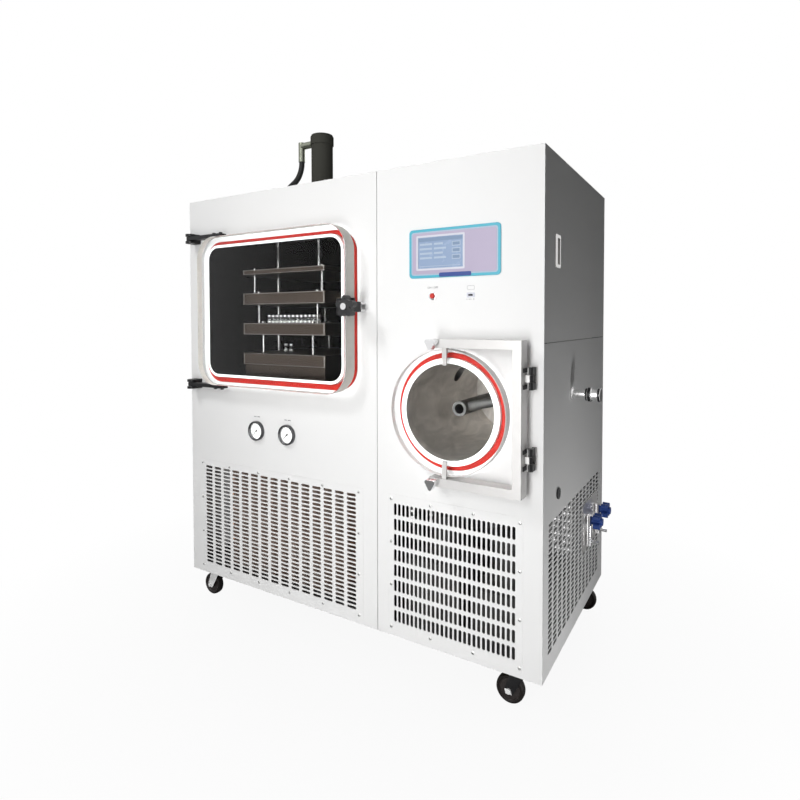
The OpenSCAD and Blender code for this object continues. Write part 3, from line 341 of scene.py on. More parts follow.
@finish
def glass(name, colour, ior):
    """Thin clear glass, such as a dial's cover or a vial."""
    f = Finish(name, colour, 0.02, IOR=ior, Transmission_Weight=1.0)
    return f.clear(0.03, (80, 3), (0.95, 0.96, 0.96))


@finish
def sanded_edge(name, colour):
    """The sawn and sanded edge of an acrylic slab."""
    f = Finish(name, colour, 0.45, Specular_IOR_Level=0.2)
    streaks = (160, 4, (1, 0.2, 1))
    return f.dress((0.08, *streaks), (0.3, 0.5, 60, 3), (0.00005, *streaks))


@finish
def rubber(name, colour, rough):
    """Hose and tyre rubber with a dusty bloom."""
    f = Finish(name, colour, rough, Specular_IOR_Level=0.2)
    return f.dress((0.35, 35, 5), (rough - 0.1, rough + 0.1, 60, 4), (0.0001, 420, 3))


@finish
def braided(name, colour):
    """Hose cover with a fine spiral rib."""
    f = Finish(name, colour, 0.5)
    f.relief(f.lines(260, "DIAGONAL"), 0.00018)
    return f.dress((0.25, 50, 4), (0.42, 0.62, 70, 3))


@finish
def enamel(name, colour):
    """Brushed-on machine enamel with runs and dust."""
    f = Finish(name, colour, 0.42)
    return f.dress((0.15, 12, 5), (0.34, 0.55, 30, 4), (0.00012, 140, 3))


@finish
def printed_film(name, colour):
    """Matt printed polyester film of a control panel."""
    f = Finish(name, colour, 0.42, Coat_Weight=0.2, Coat_Roughness=0.3)
    return f.dress((0.03, 18, 3), (0.36, 0.5, 60, 3), (0.00003, 900, 2))


@finish
def ink(name, colour):
    """Printed marks and figures."""
    return Finish(name, colour, 0.5).dress((0.1, 300, 3), (0.4, 0.6, 200, 2))


@finish
def lit_screen():
    """A backlit blue-grey display that fades a little towards its corners."""
    f = Finish("lit screen", (0.29, 0.39, 0.56), 0.25, Coat_Weight=0.3)
    f.colours(f.noise(9, 2), (0.24, 0.33, 0.50), (0.34, 0.44, 0.61))
    f.rough(f.noise(50, 2), 0.2, 0.3)
    f.relief(f.lines(900, "Z"), 0.00002)
    return f.material


@finish
def finned():
    """Stacked aluminium fins between copper bends, seen edge on."""
    f = Finish("condenser fins", (0.5, 0.4, 0.34), 0.5, 0.7)
    f.colours(f.noise(8, 4, (1, 1, 5)), (0.34, 0.17, 0.10), (0.55, 0.5, 0.46))
    f.rough(f.noise(40, 3), 0.4, 0.6)
    f.relief(f.lines(160), 0.0012)
    return f.material


@finish
def copper():
    """Drawn copper pipe, dulled in places."""
    f = Finish("copper pipe", (0.72, 0.36, 0.22), 0.3, 1.0)
    f.colours(f.noise(30, 5), (0.42, 0.20, 0.12), (0.80, 0.44, 0.28))
    f.rough(f.noise(50, 3), 0.22, 0.42)
    f.relief(f.noise(150, 2), 0.00004)
    return f.material


def chrome():
    return polished("chrome", (0.78, 0.78, 0.79))


def satin_steel():
    return brushed("satin steel", (0.62, 0.61, 0.60), (1, 12, 12), 0.26, 0.4)


# Near white and barely metallic: on the rims this stands in for bright polished steel, a painted
# reflection
def rim_steel():
    return bead_blasted("rim steel", (0.95, 0.95, 0.945))


def bracket_steel():
    return bead_blasted("bracket steel", (0.62, 0.61, 0.60))


def wear(node, material):
    """Puts a finish on a CAD node's own slots."""
    for slot in NODES[node].material_slots:
        slot.link = "OBJECT"
        slot.material = material


# ---------- making meshes ----------


def circle(radius, sides):
    """Points around a circle."""
    turns = [2 * math.pi * k / sides for k in range(sides)]
    return [(radius * math.cos(a), radius * math.sin(a)) for a in turns]


def rounded(width, height, radius, steps=10):
    """Outline of a rectangle with round corners round the origin, from millimetres."""
    width, height, radius = width * MM, height * MM, radius * MM
    points = []
    for k, (sx, sy) in enumerate(((1, 1), (-1, 1), (-1, -1), (1, -1))):
        cx, cy = sx * (width / 2 - radius), sy * (height / 2 - radius)
        for i in range(steps + 1):
            a = math.pi / 2 * (k + i / steps)
            points.append((cx + radius * math.cos(a), cy + radius * math.sin(a)))
    return points


def across(axis):
    """Two directions square to an axis and to each other."""
    axis = axis.normalized()
    first = (Z if abs(axis.z) < 0.9 else X).cross(axis).normalized()
    return first, axis.cross(first).normalized()


def add_object(name, data):
    """A new object in the scene."""
    made = bpy.data.objects.new(name, data)
    bpy.context.scene.collection.objects.link(made)
    return made


class Shape:
    """Solids gathered into one mesh."""

    def __init__(self):
        self.bm = bmesh.new()
        self.slot = 0

    def ring(self, centre, u, v, points):
        return [self.bm.verts.new(centre + u * a + v * b) for a, b in points]

    def face(self, verts):
        self.bm.faces.new(verts).material_index = self.slot

    def bridge(self, first, second):
        n = len(first)
        for k in range(n):
            self.face((first[k], first[(k + 1) % n], second[(k + 1) % n], second[k]))

    def box(self, a, b):
        """A block between two opposite corners."""
        lo, hi = Vector(map(min, a, b)), Vector(map(max, a, b))
        span = hi - lo
        outline = [(0, 0), (span.x, 0), (span.x, span.y), (0, span.y)]
        self.prism(outline, lo, X, Y, span.z)

    def prism(self, outline, origin, u, v, depth):
        """An outline drawn along u and v from an origin, pushed along u x v."""
        first = self.ring(origin, u, v, outline)
        second = self.ring(origin + u.cross(v).normalized() * depth, u, v, outline)
        self.face(first[::-1])
        self.face(second)
        self.bridge(first, second)

    def step(self, centre, steps):
        """Outlines at given heights in millimetres in front of the panel, joined in turn."""
        rings = [self.ring(centre - Y * d * MM, X, Z, o) for o, d in steps]
        for first, second in zip(rings, rings[1:]):
            self.bridge(first, second)

    def turned(self, centre, axis, profile, sides=48):
        """A profile of (radius, distance along the axis) turned round the axis."""
        axis = axis.normalized()
        u, v = across(axis)
        rings = []
        for radius, along in profile:
            spot = centre + axis * along
            if radius < 1e-7:
                rings.append([self.bm.verts.new(spot)])
            else:
                rings.append(self.ring(spot, u, v, circle(radius, sides)))
        for first, second in zip(rings, rings[1:]):
            if len(first) == len(second):
                if len(first) > 1:
                    self.bridge(first, second)
                continue
            for k in range(sides):
                after = (k + 1) % sides
                if len(first) == 1:
                    self.face((first[0], second[after], second[k]))
                else:
                    self.face((first[k], first[after], second[0]))

    def rod(self, start, end, radius, sides, chamfer=0.0):
        """A round bar, its ends chamfered or plain."""
        length = (end - start).length
        profile = [(0, 0), (radius - chamfer, 0)] + ([(radius, chamfer)] if chamfer else [])
        profile += [(r, length - d) for r, d in reversed(profile)]
        self.turned(start, end - start, profile, sides)

    def tube(self, points, radius, sides=12):
        """A pipe along a smooth line of points."""
        rings = []
        u = None
        for k, p in enumerate(points):
            before, after = points[max(k - 1, 0)], points[min(k + 1, len(points) - 1)]
            along = (after - before).normalized()
            if u is None:
                u = across(along)[0]
            u = (u - along * u.dot(along)).normalized()
            v = along.cross(u)
            rings.append(self.ring(p, u, v, circle(radius, sides)))
        for first, second in zip(rings, rings[1:]):
            self.bridge(first, second)
        self.face(rings[0][::-1])
        self.face(rings[-1])

    def write(self, text, height, spot):
        """Raised figures centred on a spot, read from the front."""
        font = bpy.data.curves.new("figures", "FONT")
        font.body = text
        font.size = height
        font.align_x, font.align_y = "CENTER", "CENTER"
        font.extrude = 0.00008
        font.resolution_u = 3
        lettering = bpy.data.objects.new("figures", font)
        mesh = bpy.data.meshes.new_from_object(lettering)
        upright = Matrix((X, Z, X.cross(Z))).transposed().to_4x4()
        mesh.transform(Matrix.Translation(spot) @ upright)
        mesh.materials.clear()
        for polygon in mesh.polygons:
            polygon.material_index = self.slot
        self.bm.from_mesh(mesh)
        bpy.data.objects.remove(lettering)
        bpy.data.meshes.remove(mesh)

    def soften(self, width):
        """Rounds every edge sharper than 30 degrees."""
        bmesh.ops.recalc_face_normals(self.bm, faces=self.bm.faces)
        sharp = math.radians(30)
        edges = [e for e in self.bm.edges if e.is_manifold and e.calc_face_angle(0) > sharp]
        bmesh.ops.bevel(
            self.bm, geom=edges, offset=width, segments=2, profile=0.5,
            affect="EDGES", clamp_overlap=True,
        )

    def mesh(self, name):
        mesh = bpy.data.meshes.new(name)
        self.bm.to_mesh(mesh)
        self.bm.free()
        return mesh

    def piece(self, name, materials, node, instead=True):
        """The finished mesh, with a node's body and slot and, mostly, in its place."""
        bmesh.ops.recalc_face_normals(self.bm, faces=self.bm.faces)
        mesh = self.mesh(name)
        for material in materials if isinstance(materials, list) else [materials]:
            mesh.materials.append(material)
        for polygon in mesh.polygons:
            polygon.use_smooth = True
        mesh.set_sharp_from_angle(angle=math.radians(35))
        made = add_object(name, mesh)
        flat = made.modifiers.new("flat faces", "WEIGHTED_NORMAL")
        flat.mode = "FACE_AREA"
        flat.weight = 100
        flat.keep_sharp = True
        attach(made, BODY_OF[node])
        if instead:
            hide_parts(node)
        return made


def softened(node, materials, width, choose=None):
    """A node's own shape with its edges rounded. choose gives a face's material."""
    shape = Shape()
    bm = shape.bm
    bm.from_mesh(NODES[node].data)
    bmesh.ops.remove_doubles(bm, verts=bm.verts, dist=1e-6)
    bmesh.ops.dissolve_limit(bm, angle_limit=math.radians(0.5), verts=bm.verts, edges=bm.edges)
    for f in bm.faces:
        f.material_index = choose(f) if choose else 0
    shape.soften(width)
    shape.piece(node + "_finished", materials, node)


def where(test):
    """The second material for faces whose middle passes a test, the first for the rest."""
    return lambda f: int(test(f.calc_center_median()))


def smooth_line(points, steps=4):
    """More points along a smooth line through the given ones."""
    line = []
    for k in range(len(points) - 1):
        p0, p1 = points[max(k - 1, 0)], points[k]
        p2, p3 = points[k + 1], points[min(k + 2, len(points) - 1)]
        for i in range(steps):
            t = i / steps
            square = (2 * p0 - 5 * p1 + 4 * p2 - p3) * t * t
            cube = (3 * p1 - p0 - 3 * p2 + p3) * t**3
            line.append(0.5 * (2 * p1 + (p2 - p0) * t + square + cube))
    return line + [points[-1]]


# ---------- what a user would change ----------


def shade(name, description, default):
    """A colour setting."""
    return FloatVectorProperty(
        name=name, description=description, subtype="COLOR", size=3, min=0, max=1, default=default,
    )


def distance(name, description, smallest, largest, default):
    """A length setting, in metres."""
    return FloatProperty(
        name=name, description=description, subtype="DISTANCE", unit="LENGTH",
        min=smallest, max=largest, default=default,
    )


class DRYER_PG_colours(bpy.types.PropertyGroup):
    cabinet: shade("Cabinet", "Colour of the painted panels", (0.87, 0.87, 0.865))
    border: shade("Panel border", "Colour of the operator panel's border", (0.07, 0.42, 0.55))
    inner: shade("Panel inside", "Colour inside the operator panel's border", (0.44, 0.39, 0.52))
    button: shade("Power button", "Colour of the power button", (0.62, 0.04, 0.03))
    valves: shade("Valve handles", "Colour of the drain valves' handles", (0.02, 0.07, 0.32))
    floor: shade("Floor", "Colour of the studio floor", (0.5, 0.5, 0.5))


class DRYER_PG_sizes(bpy.types.PropertyGroup):
    sheet_edge: distance(
        "Panel edge", "Rounding of the sheet-metal panels' edges", 0.0001, 0.0009, 0.0006,
    )
    door_edge: distance(
        "Door edge", "Rounding of the square clear door's edges", 0.0005, 0.004, 0.002,
    )
    gasket_round: distance(
        "Gasket round", "Rounding of the chamber's red gasket", 0.0003, 0.0016, 0.0012,
    )
    screw_slot: distance(
        "Screw recess", "Width of the cross recess in the panel screws", 0.0004, 0.002, 0.001,
    )
    dial_ticks: IntProperty(
        name="Dial ticks", description="Number of long ticks on a gauge's dial",
        min=4, max=12, default=7,
    )


class DRYER_PG_studio(bpy.types.PropertyGroup):
    lens: FloatProperty(
        name="Lens", description="Focal length of the camera, in millimetres",
        min=15, max=100, default=24.99,
    )
    lamp_power: FloatProperty(
        name="Main lamp", description="Power of the large soft lamp in front",
        subtype="POWER", unit="POWER", min=0, max=2000, default=26,
    )
    fill: FloatProperty(
        name="Fill", description="Level of the light from all around",
        min=0, max=1, default=0.03,
    )


def colour(name):
    """A colour from the settings as a tuple."""
    return tuple(round(c, 4) for c in getattr(bpy.context.scene.dryer_colours, name))


def size(name):
    """A size from the settings."""
    return getattr(bpy.context.scene.dryer_sizes, name)


# ---------- stage ----------


class DRYER_OT_stage(bpy.types.Operator):
    """Camera, soft studio light and a plain pale floor"""

    bl_idname = "dryer.stage"
    bl_label = "Stage"

    def execute(self, context):
        scene = context.scene
        scene.view_settings.view_transform = "Standard"
        self.camera(scene)
        self.world(scene)
        power = scene.dryer_studio.lamp_power
        # Name, place, target, width, height and watts
        for lamp in (
            ("main lamp", (0.35, -1.95, 0.95), (0.3, 0, 0.95), 0.4, 1.8, power),
            ("upper lamp", (-0.9, -2.0, 2.7), (-0.5, -0.3, 1.4), 0.6, 0.6, 21),
            ("side lamp", (1.35, -0.24, 0.15), (0.59, -0.24, 0.15), 0.1, 0.25, 2.1),
            ("top lamp", (-0.6, 0.6, 4.2), (-0.5, 0, 0), 2.2, 2.2, 20),
            ("back lamp", (-0.8, 3.4, 2.2), (0, 0, 0.8), 1.6, 1.6, 40),
        ):
            self.lamp(*lamp)
        self.floor()
        return {"FINISHED"}

    def camera(self, scene):
        lens = bpy.data.cameras.new("camera")
        lens.lens = scene.dryer_studio.lens
        lens.shift_y = -0.0778
        lens.dof.use_dof = False
        made = add_object("camera", lens)
        made.location = (0.9804, -1.6008, 0.9851)
        made.rotation_euler = [math.radians(a) for a in (88.35, 0.08, 31.13)]
        scene.camera = made

    def world(self, scene):
        """White where it is seen directly, in a mirror or through glass, and dim as a light."""
        scene.world = bpy.data.worlds.new("studio")
        sky = Tree(scene.world)
        seen = sky.rays("Camera", "Glossy", "Transmission")
        back = sky.tree.nodes["Background"]
        back.inputs["Color"].default_value = (1, 1, 1, 1)
        sky.link(sky.spread(seen, scene.dryer_studio.fill, 1, 0, 1), back.inputs["Strength"])

    def lamp(self, name, place, target, width, height, power):
        light = bpy.data.lights.new(name, "AREA")
        light.shape = "RECTANGLE"
        light.size, light.size_y = width, height
        light.energy = power
        made = add_object(name, light)
        made.location = place
        aim = Vector(target) - Vector(place)
        made.rotation_euler = aim.to_track_quat("-Z", "Y").to_euler()

    def floor(self):
        """A round floor that grows white away from the machine and keeps its shadow."""
        reach, near, far = 9, 0.5, 1.5
        shape = Shape()
        shape.face(shape.ring(Vector(), X, Y, circle(reach, 64)))
        mesh = shape.mesh("floor")
        f = Finish("pale floor", colour("floor"), 0.6)
        f.shades(f.noise(2, 3), 0.01)
        spot = f.node("ShaderNodeTexCoord")
        away = f.node("ShaderNodeVectorMath", operation="LENGTH")
        f.link(spot.outputs["Object"], away.inputs[0])
        seen = f.node("ShaderNodeMath", operation="MULTIPLY")
        f.link(f.spread(away.outputs["Value"], 0.93, 1, near, far), seen.inputs[0])
        f.link(f.rays("Camera", "Transmission"), seen.inputs[1])
        f.cover(seen.outputs[0], f.node("ShaderNodeEmission"))
        mesh.materials.append(f.material)
        add_object("floor", mesh)


# ---------- hoses ----------


# Each hose's line, in millimetres
HYDRAULIC_LINE = [
    (307, 243, 1455), (307, 243, 1452), (305.5, 243, 1437), (301.5, 243, 1423),
    (295, 243, 1409.5), (286, 243, 1397.5), (274.5, 243, 1387.5), (262, 243, 1380),
    (249.5, 243, 1372.5), (238, 243, 1362.5), (229, 243, 1350.5), (222.5, 243, 1337),
    (218.5, 243, 1323), (217, 243, 1308), (217, 243, 1305),
]
SHELF_LINE = [
    (583, 150, 957), (587, 150, 957), (603, 152.5, 957.5), (617, 159.5, 959.5),
    (628.5, 170, 963), (636, 183.5, 967), (639, 192, 969), (642, 200, 971.5),
    (645, 208, 974), (648, 216, 976.5), (655.5, 230, 980.5), (667, 240.5, 983.5),
    (681, 247.5, 985.5), (697, 250, 986), (701, 250, 986),
]


def lay_hose(node, line, material, diameter):
    """A hose along its line, in place of its CAD node."""
    curve = smooth_line([at(*p) for p in line], 5)
    shape = Shape()
    shape.tube(curve, diameter / 2, 20)
    made = shape.piece(node + "_cover", material, node)


class DRYER_OT_hoses(bpy.types.Operator):
    """The hydraulic hose over the cabinet and the upper shelf's hose"""

    bl_idname = "dryer.hoses"
    bl_label = "Hoses"

    def execute(self, context):
        black = rubber("hose rubber", (0.02, 0.021, 0.02), 0.45)
        cream = braided("cream hose", (0.70, 0.66, 0.56))
        lay_hose("hydraulic_hose", HYDRAULIC_LINE, black, diameter=0.020)
        lay_hose("shelf_hose", SHELF_LINE, cream, diameter=0.012)
        return {"FINISHED"}


# ---------- cabinet ----------


class DRYER_OT_panels(bpy.types.Operator):
    """Painted sheet-metal panels, vent plates and the frame behind them"""

    bl_idname = "dryer.panels"
    bl_label = "Panels"

    def execute(self, context):
        white = powder_coat("white coat", colour("cabinet"))
        for node in ("left_front_panel", "right_front_panel", "left_side_panel",
                     "right_upper_panel"):
            softened(node, white, size("sheet_edge"))
        for node in ("left_vent_plate", "right_vent_plate", "right_lower_panel",
                     "top_and_rear_panels"):
            wear(node, white)
        # The frame's near-black coat is painted shade: it darkens the panel seams and vent slots
        # where the frame shows through
        wear("cabinet_frame", powder_coat("frame coat", (0.10, 0.10, 0.10)))
        return {"FINISHED"}


class DRYER_OT_screws(bpy.types.Operator):
    """Domed screws with a cross recess round the vent plates"""

    bl_idname = "dryer.screws"
    bl_label = "Panel screws"

    def execute(self, context):
        shape = Shape()
        half = size("screw_slot") / 2
        for n, (lo, hi) in enumerate(solids("panel_screws")):
            radius, rise = (hi.x - lo.x) / 2, hi.y - lo.y
            centre = Vector(((lo.x + hi.x) / 2, hi.y, (lo.z + hi.z) / 2))
            shape.slot = 0
            shape.turned(centre, -Y, [
                (radius, 0), (radius, 0.35 * rise), (0.93 * radius, 0.6 * rise),
                (0.78 * radius, 0.8 * rise), (0.5 * radius, 0.93 * rise), (0, 0.97 * rise),
            ], 20)
            # A thin dark cross laid on the dome: painted shade in place of the cross recess
            shape.slot = 1
            arm = 0.48 * radius
            outline = [(-arm, -half), (arm, -half), (arm, half), (-arm, half)]
            for a in (n * 0.7, n * 0.7 + math.pi / 2):
                u = X * math.cos(a) + Z * math.sin(a)
                v = X * math.sin(a) - Z * math.cos(a)
                shape.prism(outline, centre - Y * rise * 0.9, u, v, -0.1 * rise)
        zinc = brushed("zinc screw", (0.68, 0.68, 0.67), (1, 1, 1), 0.28, 0.42)
        # Dark ink for the cross: painted shade, not print
        recess = ink("recess", (0.09, 0.09, 0.09))
        shape.piece("vent_screws", [zinc, recess], "panel_screws")
        return {"FINISHED"}


# ---------- drying chamber ----------


def mouth(node, steel):
    """A vessel with a pale rim in front of the panel, and plain walls up to the mouth's edge."""
    centre, front = middle(node), at(0, RIM_BACK, 0).y

    def rim(f):
        c = f.calc_center_median() - centre
        inward = f.normal.x * c.x + f.normal.z * c.z < -0.3 * math.hypot(c.x, c.z)
        return int(c.y + centre.y < front and not inward)

    softened(node, [steel, rim_steel()], 0.0008, rim)


class DRYER_OT_chamber(bpy.types.Operator):
    """Stainless drying chamber, its pale rim and the red gasket round it"""

    bl_idname = "dryer.chamber"
    bl_label = "Drying chamber"

    def execute(self, context):
        # The chamber's steel is nearly black: painted shade for the dim inside of the closed
        # chamber
        mouth("drying_chamber", mirror_steel("chamber steel", (0.02, 0.018, 0.017), 0.1, 0.26))
        softened("chamber_gasket", silicone(), size("gasket_round"))
        return {"FINISHED"}


class DRYER_OT_shelves(bpy.types.Operator):
    """Shelves with their hanging bolts and guide rods, and the press plate on its ram"""

    bl_idname = "dryer.shelves"
    bl_label = "Shelves and press"

    def execute(self, context):
        # The shelves' steel is dark: painted shade inside the chamber
        steels = [
            brushed("shelf steel", (0.08, 0.062, 0.051), (1, 14, 14), 0.3, 0.46),
            brushed("ground rod", (0.36, 0.355, 0.35), (10, 10, 1), 0.16, 0.3),
        ]
        left, right = at(224, 0, 0).x, at(576, 0, 0).x
        for node, top in SHELF_TOPS.items():
            level = at(0, 0, top).z + 0.0004
            fixed = node == "shelf_lower"
            rods = where(lambda c: c.z > level or (fixed and not left < c.x < right))
            softened(node, steels, 0.0007, rods)
            thick = 16 if node == "press_ram" else 38
            # Painted highlights along each shelf's and the press plate's front edges
            self.edge_highlights(node, at(0, 0, top - thick).z, level)
        return {"FINISHED"}

    def edge_highlights(self, node, base, level):
        """A bright lip and the welded end seams along a shelf's front edge."""
        shape = Shape()
        lo, hi = at(225, 55, 0), at(575, 55, 0)
        for z in (base + 0.0016, level - 0.002):
            shape.rod(Vector((lo.x + 0.001, lo.y, z)), Vector((hi.x - 0.001, hi.y, z)), 0.0008, 8)
        for x in (lo.x + 0.004, hi.x - 0.004):
            shape.rod(Vector((x, lo.y, base + 0.001)), Vector((x, lo.y, level - 0.001)), 0.0009, 8)
        edge_shine = brushed("weld seam", (0.30, 0.28, 0.265), (1, 1, 1), 0.3, 0.4)
        shape.piece(node + "_seams", edge_shine, node, False)


class DRYER_OT_vials(bpy.types.Operator):
    """Stoppered glass vials on the middle and lower shelves"""

    bl_idname = "dryer.vials"
    bl_label = "Vials"

    def execute(self, context):
        materials = [
            glass("vial glass", (0.97, 0.98, 0.98), 1.47),
            powder_coat("dried cake", (0.55, 0.54, 0.52)),
            brushed("crimp cap", (0.52, 0.52, 0.52), (1, 1, 1), 0.25, 0.4),
        ]
        wall = (
            (0, 0.5), (5, 0.5), (7.2, 0), (8, 0.8), (8, 14.5), (7.4, 16.6), (5.6, 18.4), (5, 19.3),
            (5, 21), (4.1, 21), (4.1, 19.2), (4.8, 17.8), (6.6, 16), (7.1, 14.3), (7.1, 1.5),
            (0, 1.4),
        )
        cake = ((0, 1.5), (6.9, 1.6), (6.9, 8), (6.2, 8.4), (2, 8.1), (0, 8.2))
        cap = ((5.1, 20.6), (6, 21), (6, 26.4), (5.6, 27), (2.4, 27), (2.2, 26.6), (0, 26.6))
        for node in ("vials_middle", "vials_lower"):
            shape = Shape()
            for lo, hi in solids(node):
                foot = Vector(((lo.x + hi.x) / 2, (lo.y + hi.y) / 2, lo.z))
                for shape.slot, (profile, sides) in enumerate(((wall, 28), (cake, 24), (cap, 24))):
                    shape.turned(foot, Z, mm(profile), sides)
            shape.piece(node + "_glass", materials, node)
        return {"FINISHED"}


class DRYER_OT_chamber_door(bpy.types.Operator):
    """Clear square door, its black hinge arms and clevises, and the star knob"""

    bl_idname = "dryer.chamber_door"
    bl_label = "Square door"

    def execute(self, context):
        # The square door's edge is a darker copy of the disc's sanded edge: painted shade
        slab = [acrylic(), sanded_edge("sawn edge", (0.62, 0.60, 0.56))]
        softened("chamber_door", slab, size("door_edge"),
                 lambda f: int(abs(f.normal.y) <= 0.7))
        softened("door_fittings", black_coat(), 0.0015)
        # On the trap hinges the knuckles' half left of the axis is pale and the right half black:
        # painted light and shade on one knuckle; the pads against the panel are pale steel
        axis, plate = at(TRAP_HINGE_X, 0, 0).x, at(0, -6.5, 0).y
        softened("hinge_brackets", [black_coat(), bracket_steel()], 0.0012,
                 where(lambda c: c.x > 0 and (c.x < axis or c.y > plate)))
        tip, shank = at(0, -89.5, 0).y, at(0, -66, 0).y
        softened("star_knob", [moulded_black(), chrome()], 0.0028,
                 where(lambda c: not tip < c.y < shank))
        softened("clamp_sockets", chrome(), 0.0012)
        return {"FINISHED"}


# ---------- cold trap ----------


class DRYER_OT_trap(bpy.types.Operator):
    """Scrubbed cold trap, its pale rim, red gasket, centre tube and the coil round it"""

    bl_idname = "dryer.trap"
    bl_label = "Cold trap"

    def execute(self, context):
        mouth("trap_vessel", streaked_steel("trap steel", (0.55, 0.515, 0.48)))
        softened("trap_gasket", silicone(), 0.0008)
        # The centre tube is a much darker copy of the trap's steel, painted shade deep in the trap;
        # its front end is a little lighter, painted light on the mouth
        end = at(0, 52, 0).y
        shaded_tube = streaked_steel("tube steel", (0.11, 0.107, 0.104))
        paler = streaked_steel("tube mouth", (0.15, 0.147, 0.144))
        softened("centre_tube", [shaded_tube, paler], 0.0008, where(lambda c: c.y < end))
        wear("evaporator_coil", copper())
        wear("vapour_duct", satin_steel())
        return {"FINISHED"}


class DRYER_OT_trap_door(bpy.types.Operator):
    """Clear round door in its pale bracket, with two chrome clamp knobs"""

    bl_idname = "dryer.trap_door"
    bl_label = "Round door"

    def execute(self, context):
        disc = [acrylic(), sanded_edge("turned edge", (0.80, 0.79, 0.78))]
        softened("trap_door", disc, 0.001, lambda f: int(abs(f.normal.y) <= 0.9))
        # Right of the hinge axis the bracket's knuckle is black: painted shade on the side away
        # from the lamp
        axis = at(TRAP_HINGE_X, 0, 0).x
        softened("trap_door_bracket", [bracket_steel(), black_coat()], 0.0014,
                 where(lambda c: c.x > axis))
        self.hinge_pads()
        for node in ("trap_knob_upper", "trap_knob_lower"):
            softened(node, chrome(), 0.0022)
        return {"FINISHED"}

    def hinge_pads(self):
        """Black blocks that clamp each hinge to the bracket's side, and the screw between."""
        shape = Shape()
        for z in TRAP_HINGE_ZS:
            for rise in (-20, 20):
                shape.box(at(1227.6, -42, z + rise - 5.2), at(1230.4, -14.5, z + rise + 5.2))
            shape.rod(at(1227.6, -19, z), at(1229.8, -19, z), 0.0032, 20, 0.0005)
        shape.soften(0.0006)
        shape.piece("trap_hinge_pads", black_coat(), "trap_door_bracket", False)


# ---------- front controls ----------


class DRYER_OT_gauges(bpy.types.Operator):
    """Two pressure gauges: bezel, dial with ticks and figures, needle and glass"""

    bl_idname = "dryer.gauges"
    bl_label = "Gauges"

    def execute(self, context):
        lo, hi = low("pressure_gauges"), high("pressure_gauges")
        radius = (hi.z - lo.z) / 2
        shape = Shape()
        for x in (lo.x + radius, hi.x - radius):
            centre = Vector((x, CORNER.y, (lo.z + hi.z) / 2))
            self.case(shape, centre, radius)
            self.dial(shape, centre - Y * 0.003, radius - 0.0065)
        materials = [
            polished("bezel", (0.11, 0.11, 0.115)),
            powder_coat("dial white", (0.90, 0.90, 0.88)),
            ink("dial ink", (0.02, 0.02, 0.02)),
            glass("dial glass", (0.98, 0.98, 0.98), 1.45),
            satin_steel(),
        ]
        shape.piece("gauges", materials, "pressure_gauges")
        for side in ("left", "right"):
            node = "gauge_needle_" + side
            softened(node, black_coat(), 0.0003)
        return {"FINISHED"}

    def case(self, shape, centre, radius):
        """A stepped bezel with a rolled lip, the case behind it and the glass."""
        r = radius / MM
        shape.slot = 0
        shape.turned(centre, -Y, mm((
            (r - 6.5, 3), (r - 6.5, 9.2), (r - 6, 10.4), (r - 4.6, 11.6), (r - 2.6, 12),
            (r - 1.6, 12), (r - 0.7, 11.4), (r - 0.2, 10.2), (r - 0.6, 8.8), (r, 7.6), (r, 1),
            (r - 0.6, 0), (r - 4.5, 0),
        )), 72)
        shape.slot = 4
        shape.turned(centre, Y, mm((
            (r - 4.5, 0), (r - 4.5, 27), (r - 7, 30), (9, 30), (8, 29.5), (0, 29.5),
        )))
        shape.slot = 3
        shape.turned(centre, -Y, mm((
            (0, 8.2), (r - 6.5, 8.2), (r - 6.5, 9), (r - 8, 9.4), (0, 9.6),
        )))

    def dial(self, shape, centre, r):
        """A white face with long and short ticks and a figure at each long one."""
        def way(share):
            """Outward and along the dial at a share of its scale."""
            a = math.radians(-135 + 270 * share)
            return X * math.sin(a) + Z * math.cos(a), X * math.cos(a) - Z * math.sin(a)

        shape.slot = 1
        shape.turned(centre, -Y, [(r, -0.0004), (r, 0), (0, 0.0001)], 72)
        shape.slot = 2
        spaces = (size("dial_ticks") - 1) * 5
        for k in range(spaces + 1):
            out, side = way(k / spaces)
            long_one = k % 5 == 0
            start = centre + out * r * (0.78 if long_one else 0.86)
            length, half = r * (0.17 if long_one else 0.09), 0.00045 if long_one else 0.0002
            outline = [(-half, 0), (half, 0), (half, length), (-half, length)]
            shape.prism(outline, start - Y * 0.0001, side, out, -0.00012)
            if long_one:
                shape.write(str(k // 5), 0.0052, centre + out * r * 0.62 - Y * 0.0001)
        arc = [centre + way(k / 40)[0] * r * 0.955 - Y * 0.0001 for k in range(41)]
        shape.tube(arc, 0.0002, 4)


